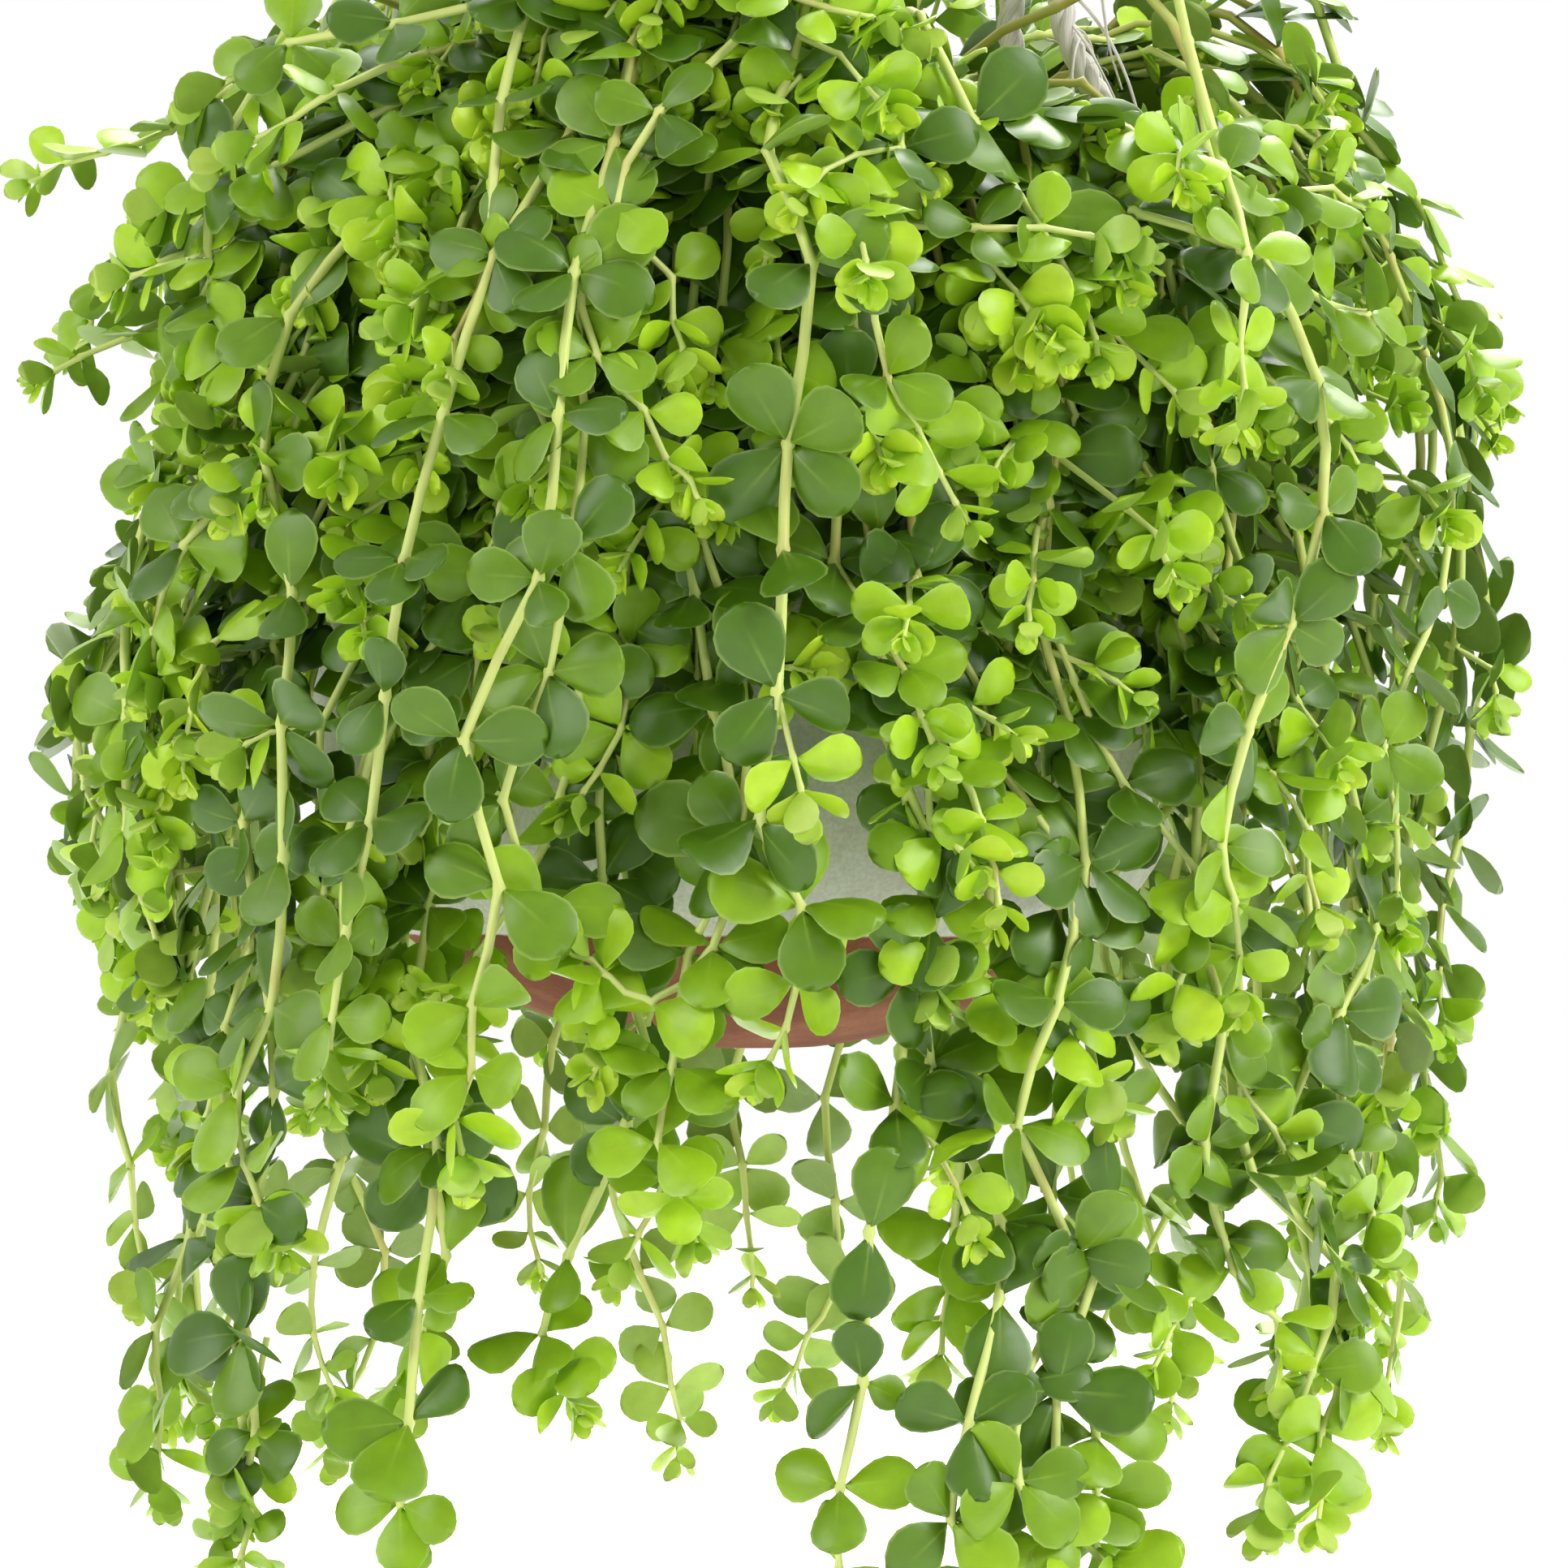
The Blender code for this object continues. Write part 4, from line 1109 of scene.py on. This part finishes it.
def growVine(bundle, route, thick, internode, isShoot=False, isLead=False):
    # adds one vine's stem points and its leaves to its bundle, and the side shoots that leave it
    p, form = vinePlan, leafForm
    route = [withinReach(drawnIn(point, p["looseShoot"]) if isShoot else point) for point in route]
    if not isLead and any(inRopeGap(point) for point in route):
        return
    length = marksAlong(route)[-1]
    nodes = nodesAlong(length, internode, p["footGap"] if isShoot else p["bare"])
    if not nodes:
        return
    # straight lengths of stem between the whorls, with a slight turn at each
    path, (tipEase, rootEase) = [(route[-1], 0.0, 0)], p["kinkEase"]
    for distance, size in nodes:
        loose = p["kink"] * min(1, distance / tipEase) * min(1, (length - distance) / rootEase)
        turned = Vector([random.gauss(0, loose) for _ in range(3)])
        path.append((alongRoute(route, length - distance) + turned, distance, size))
    path.append((route[0], length, 0))
    path.reverse()
    stemInto(bundle, path, thick)
    turn, tone = random.uniform(0, math.tau), random.gauss(0, form["toneSpread"])
    vigour = random.uniform(*form["vigour"])
    leanLeast, leanMore, leanLength, leanPower = form["lean"]
    for k in range(len(path) - 2, 0, -1):
        base, distance, size = path[k]
        if not size:
            continue
        tangent = (path[k + 1][0] - path[k - 1][0]).normalized()
        light = lightAt(base, tangent)
        side = tangent.cross(light)
        count = 2 if distance < form["pairBelow"] else random.choices(form["whorls"], form["odds"])[0]
        turn += math.pi / count + random.uniform(-form["turnSpread"], form["turnSpread"])
        settle = min(1, distance / form["settleLength"])
        settle = settle * settle * (3 - 2 * settle)
        lean = math.radians(leanLeast + leanMore * min(1, distance / leanLength) ** leanPower)
        tilt = math.radians(random.gauss(*form["tilt"]))
        for n in range(count):
            angle = turn + math.tau * n / count + random.gauss(0, form["splay"])
            ahead = tangent * math.cos(tilt) + light * math.sin(tilt)
            young = ((side * math.cos(angle) + light * math.sin(angle)) * math.sin(lean)
                     + tangent * math.cos(lean))
            settled = (side * math.cos(angle) + ahead * math.sin(angle) * form["flatness"]
                       + light * random.gauss(*form["lift"]) - upward * form["fall"])
            reach = (young * (1 - settle) + settled * settle).normalized()
            if inRopeGap(base + reach * size * 0.6, p["gapMargin"], ropeGaps[:1] if isLead else ropeGaps):
                continue
            facing = tangent * (1 - settle) + (light - tangent * math.sin(tilt)) * settle
            facing += Vector([random.gauss(0, form["facingSpread"]) for _ in range(3)]) * settle
            facing = (facing - reach * facing.dot(reach)).normalized()
            # the leaf's tone holds its random tone plus painted shade for leaves deep inside the plant
            bundle["leaves"].append((
                base + reach * p["stemRadius"] * 0.5, reach, facing,
                size * vigour * random.gauss(1, form["sizeSpread"]),
                min(1, distance / form["ageLength"]) ** form["agePower"],
                min(1, max(-1, tone + random.gauss(0, form["toneSpread"]))) + shadeAt(base),
                random.gauss(*form["curlSpread"]), min(form["mostFold"], random.gauss(*form["foldSpread"]))))
        low, high = p["shootChance"]
        chance = low + (high - low) * min(1, max(0, (base.z - footZ) / p["shootHeight"]))
        if not isShoot and distance > p["shootFrom"] and random.random() < chance:
            shoot = shootRoute(base, tangent, light)
            growVine(bundle, shoot, thick * shootPlan["thickness"], internode, True)


def leafTemplate(name, outline):
    # one fleshy leaf, one unit long: rounded, widest past its middle, domed along the midrib, flat below and
    # thin at the rim
    shape = bmesh.new()
    blade = shape.verts.layers.float_vector.new("blade")
    bow = shape.verts.layers.float.new("bow")
    below = shape.faces.layers.float.new("below")
    rings = []
    for along, half in outline:
        depth = min(1, 0.25 + 1.3 * math.sin(math.pi * min(0.97, along)))
        ring = []
        for across, face in ((-1, 0), (0, 1), (1, 0)):
            vertex = shape.verts.new((along, across * half, face * depth))
            vertex[blade], vertex[bow] = Vector((along, across, face)), (across * half * 2) ** 2
            ring.append(vertex)
        rings.append(ring)
    for ring, along, flip in ((rings[0], 0.0, False), (rings[-1], 1.0, True)):
        end = shape.verts.new((along, 0, 0))
        end[blade] = Vector((along, 0, 0))
        for k in range(3):
            n = (k + 1) % 3
            face = shape.faces.new((end, ring[n], ring[k]) if flip else (end, ring[k], ring[n]))
            face[below] = float(k == 2)
    for lower, upper in zip(rings, rings[1:]):
        for k in range(3):
            n = (k + 1) % 3
            shape.faces.new((lower[n], lower[k], upper[k], upper[n]))[below] = float(k == 2)
        for k in (0, 2):
            shape.edges.get((lower[k], upper[k])).smooth = False
    bmesh.ops.recalc_face_normals(shape, faces=shape.faces)
    return pieceFrom(name, meshFrom(name, shape))


def leafTree():
    # a leaf at each point, turned, sized, folded and curled as the point says
    tree, given, result = newTree("leavesOnPoints", [
        ("Leaf", "Object", None), ("Young Leaf", "Object", None), ("Young Below", "Float", 0.01),
        ("Width", "Float", 0.8), ("Thickness", "Float", 0.08), ("Fold", "Float", 0.2), ("Curl", "Float", 0.5),
        ("Material", "Material", None)])
    value = {label: given[label] for label in ("Width", "Thickness", "Fold", "Curl")}
    for kind, labels in (("FLOAT_VECTOR", ("reach", "facing", "blade")),
                         ("FLOAT", ("size", "bow", "fold", "curl"))):
        for label in labels:
            value[label] = addNode(tree, "GeometryNodeInputNamedAttribute", {"data_type": kind},
                                   {"Name": label}).outputs["Attribute"]
    value["along"] = addNode(tree, "ShaderNodeSeparateXYZ", None, {0: value["blade"]}).outputs[0]
    # each row works out a value from two others or from one and a number
    for label, operation, a, b in (
            ("wide", "MULTIPLY", "size", "Width"), ("thick", "MULTIPLY", "size", "Thickness"),
            ("folded", "MULTIPLY", "bow", "fold"), ("folded", "MULTIPLY", "folded", "Fold"),
            ("bend", "SUBTRACT", "along", 0.3), ("bend", "POWER", "bend", 2.0),
            ("curled", "MULTIPLY", "bend", "curl"), ("curled", "MULTIPLY", "curled", "Curl"),
            ("lift", "ADD", "folded", "curled"), ("lift", "MULTIPLY", "lift", "size")):
        value[label] = addNode(tree, "ShaderNodeMath", {"operation": operation},
                               {0: value[a], 1: value.get(b, b)}).outputs[0]
    turned = addNode(tree, "FunctionNodeAxesToRotation", {"primary_axis": "X", "secondary_axis": "Z"},
                     {0: value["reach"], 1: value["facing"]}).outputs[0]
    scale = addNode(tree, "ShaderNodeCombineXYZ", None,
                    {0: value["size"], 1: value["wide"], 2: value["thick"]}).outputs[0]
    placed = addNode(tree, "GeometryNodeJoinGeometry")
    for label, operation in (("Leaf", "GREATER_EQUAL"), ("Young Leaf", "LESS_THAN")):
        chosen = addNode(tree, "FunctionNodeCompare", {"data_type": "FLOAT", "operation": operation},
                         {0: value["size"], 1: given["Young Below"]}).outputs[0]
        leaf = addNode(tree, "GeometryNodeObjectInfo", {"transform_space": "ORIGINAL"},
                       {"Object": given[label]}).outputs["Geometry"]
        onPoints = addNode(tree, "GeometryNodeInstanceOnPoints", None,
                           {"Points": given["Geometry"], "Selection": chosen, "Instance": leaf,
                            "Rotation": turned, "Scale": scale}).outputs[0]
        tree.links.new(onPoints, placed.inputs[0])
    real = addNode(tree, "GeometryNodeRealizeInstances", None, {"Geometry": placed.outputs[0]}).outputs[0]
    offset = addNode(tree, "ShaderNodeVectorMath", {"operation": "SCALE"},
                     {0: value["facing"], "Scale": value["lift"]}).outputs[0]
    shaped = addNode(tree, "GeometryNodeSetPosition", None, {"Geometry": real, "Offset": offset}).outputs[0]
    smooth = addNode(tree, "GeometryNodeSetShadeSmooth", None, {"Geometry": shaped}).outputs[0]
    coated = addNode(tree, "GeometryNodeSetMaterial", None,
                     {"Geometry": smooth, "Material": given["Material"]}).outputs[0]
    tree.links.new(coated, result["Geometry"])
    return tree


def stemTree():
    # a closed round stem along each line of edges, as thick as its points say
    tree, given, result = newTree("stemsAlongLines", [("Sides", "Int", 6), ("Material", "Material", None)])
    thickness = addNode(tree, "GeometryNodeInputNamedAttribute", {"data_type": "FLOAT"},
                        {"Name": "thickness"}).outputs["Attribute"]
    curve = addNode(tree, "GeometryNodeMeshToCurve", None, {"Mesh": given["Geometry"]}).outputs[0]
    ring = addNode(tree, "GeometryNodeCurvePrimitiveCircle", {"mode": "RADIUS"},
                   {"Resolution": given["Sides"], "Radius": 1.0})
    tube = addNode(tree, "GeometryNodeCurveToMesh", None,
                   {"Curve": curve, "Profile Curve": ring.outputs[0], "Scale": thickness,
                    "Fill Caps": True}).outputs[0]
    smooth = addNode(tree, "GeometryNodeSetShadeSmooth", None, {"Geometry": tube}).outputs[0]
    real = addNode(tree, "GeometryNodeRealizeInstances", None, {"Geometry": smooth}).outputs[0]
    coated = addNode(tree, "GeometryNodeSetMaterial", None,
                     {"Geometry": real, "Material": given["Material"]}).outputs[0]
    tree.links.new(coated, result["Geometry"])
    return tree


def pointMesh(name, points, edges, values):
    # a mesh of bare points that carries the values that a tree reads
    mesh = bpy.data.meshes.new(name)
    mesh.from_pydata([tuple(point) for point in points], edges, [])
    for label, kind, given in values:
        layer = mesh.attributes.new(label, kind, "POINT")
        if kind == "FLOAT_VECTOR":
            layer.data.foreach_set("vector", [c for value in given for c in value])
        else:
            layer.data.foreach_set("value", given)
    return mesh


def makeBundle(name, bundle, leafShapes, leaves, stems):
    # a lead vine and the vines beside it: one piece of stems and one of leaves
    form = leafForm
    points = pointMesh(name + "_stems", bundle["stemPoints"], bundle["stemEdges"], [
        ("thickness", "FLOAT", bundle["stemRadius"]), ("age", "FLOAT", bundle["stemAge"])])
    stemPiece = pieceFrom(name + "_stems", points)
    growWith(stemPiece, stems, {"Sides": vinePlan["stemSides"], "Material": stemMaterial})
    columns = list(zip(*bundle["leaves"]))
    kinds = (("reach", "FLOAT_VECTOR"), ("facing", "FLOAT_VECTOR"), ("size", "FLOAT"), ("age", "FLOAT"),
             ("tone", "FLOAT"), ("curl", "FLOAT"), ("fold", "FLOAT"))
    leafPiece = pieceFrom(name + "_leaves", pointMesh(name + "_leaves", columns[0], [], [
        (label, kind, column) for (label, kind), column in zip(kinds, columns[1:])]))
    growWith(leafPiece, leaves, {
        "Leaf": leafShapes[0], "Young Leaf": leafShapes[1], "Young Below": form["youngBelow"],
        "Width": form["width"],
        "Thickness": form["thickness"], "Fold": form["fold"], "Curl": form["curl"], "Material": leafMaterial})
    for piece, standsFor in ((stemPiece, name), (leafPiece, None)):
        intoFrame(piece, standsFor)
        piece.data.calc_loop_triangles()
    return len(leafPiece.data.loop_triangles) + len(stemPiece.data.loop_triangles)


def makeVines():
    p = vinePlan
    random.seed(p["seed"])
    leafShapes = [leafTemplate(name, leafForm[outline])
                  for name, outline in (("leaf", "outline"), ("youngLeaf", "youngOutline"))]
    leaves, stems = leafTree(), stemTree()
    extraRoute = {"skirt": trailerRoute, "spray": sprigRoute}
    vineCount = leafCount = triangles = 0
    for family, plan in vineFamilies.items():
        internode = plan.get("internode", p["internode"])
        for number in range(plan["count"]):
            bundle = {"stemPoints": [], "stemEdges": [], "stemRadius": [], "stemAge": [], "leaves": []}
            root, lead = leadRoute(family, number)
            route = wandered([drawnIn(point, p["looseLead"]) for point in lead])
            growVine(bundle, route, p["stemRadius"] * 1.1, internode, isLead=True)
            inFront = math.sin(math.radians(root)) < -0.5
            neighbours = plan["kin"] + plan.get("liners", 0) * inFront
            for k in range(neighbours):
                route = kinRoute(family, root, k)
                growVine(bundle, route, p["stemRadius"] * random.uniform(*kinPlan["thickness"]), internode)
            for azimuth, *rest in plan.get("extras", ()):
                if round((azimuth - plan["first"]) * plan["count"] / 360) % plan["count"] == number:
                    growVine(bundle, extraRoute[family](azimuth, *rest), p["stemRadius"], internode)
            triangles += makeBundle(f"{family}_vine_{number + 1:02d}", bundle, leafShapes, leaves, stems)
            vineCount, leafCount = vineCount + neighbours, leafCount + len(bundle["leaves"])
    for shape in leafShapes:
        bpy.data.objects.remove(shape, do_unlink=True)
    print("vines made:", vineCount, "beside the leads,", leafCount, "leaves,", triangles, "triangles")


makeVines()


# studio

studio = {
    "floorDrop": 0.34, "floorSize": 14.0, "floorColour": "#f6f6f4", "floorGlow": 0.98,
    "skyStrength": 0.08, "aim": 0.08,
    # each lamp: where it is, above the pot's foot, its power and its size
    "lamps": {"key": ((3.0, -1.6, 2.4), 128, 2.6), "fill": ((-2.6, -1.8, 1.8), 66, 2.6),
              "back": ((0.7, 1.7, 3.0), 138, 2.2)},
}


def softLamp(name, place, power, size):
    data = bpy.data.lights.new(name, "AREA")
    data.energy = power
    data.shape = "DISK"
    data.size = size
    lamp = pieceFrom(name, data)
    lamp.location = Vector(place) + Vector((0, 0, footZ))
    aim = Vector((0, 0, footZ + studio["aim"])) - lamp.location
    lamp.rotation_euler = aim.to_track_quat("-Z", "Y").to_euler()


def whiteTo(tree, shader, plain):
    # plain white for what looks straight, in a mirror or through glass; the given shader for the rest
    path = addNode(tree, "ShaderNodeLightPath").outputs
    seen = path["Is Camera Ray"]
    for other in ("Is Glossy Ray", "Is Transmission Ray"):
        seen = addNode(tree, "ShaderNodeMath", {"operation": "MAXIMUM"}, {0: seen, 1: path[other]}).outputs[0]
    return addNode(tree, "ShaderNodeMixShader", None, {0: seen, 1: shader, 2: plain}).outputs[0]


def makeStudio():
    s = studio
    bpy.context.scene.view_settings.view_transform = "Standard"
    world = bpy.data.worlds.new("studio")
    bpy.context.scene.world = world
    world.use_nodes = True
    tree = world.node_tree
    tree.nodes.clear()
    dim, bright = (addNode(tree, "ShaderNodeBackground", None, {"Color": (1, 1, 1, 1), "Strength": strength})
                   for strength in (s["skyStrength"], 1.0))
    addNode(tree, "ShaderNodeOutputWorld", None, {0: whiteTo(tree, dim.outputs[0], bright.outputs[0])})
    half, floorZ = s["floorSize"] / 2, cadBox[0][2] - s["floorDrop"]
    mesh = bpy.data.meshes.new("floor")
    corners = [(x * half, y * half, floorZ) for x, y in ((-1, -1), (1, -1), (1, 1), (-1, 1))]
    mesh.from_pydata(corners, [], [(0, 1, 2, 3)])
    material = bpy.data.materials.new("paleFloor")
    material.use_nodes = True
    tree = material.node_tree
    tree.nodes.clear()
    matte = addNode(tree, "ShaderNodeBsdfDiffuse", None, {"Color": hexColour(s["floorColour"])}).outputs[0]
    glow = addNode(tree, "ShaderNodeEmission", None,
                   {"Color": (1, 1, 1, 1), "Strength": s["floorGlow"]}).outputs[0]
    lit = addNode(tree, "ShaderNodeAddShader", None, {0: matte, 1: glow}).outputs[0]
    addNode(tree, "ShaderNodeOutputMaterial", None, {0: whiteTo(tree, matte, lit)})
    mesh.materials.append(material)
    pieceFrom("floor", mesh)
    for name, (place, power, size) in s["lamps"].items():
        softLamp(name, place, power, size)


makeStudio()
print("studio made")
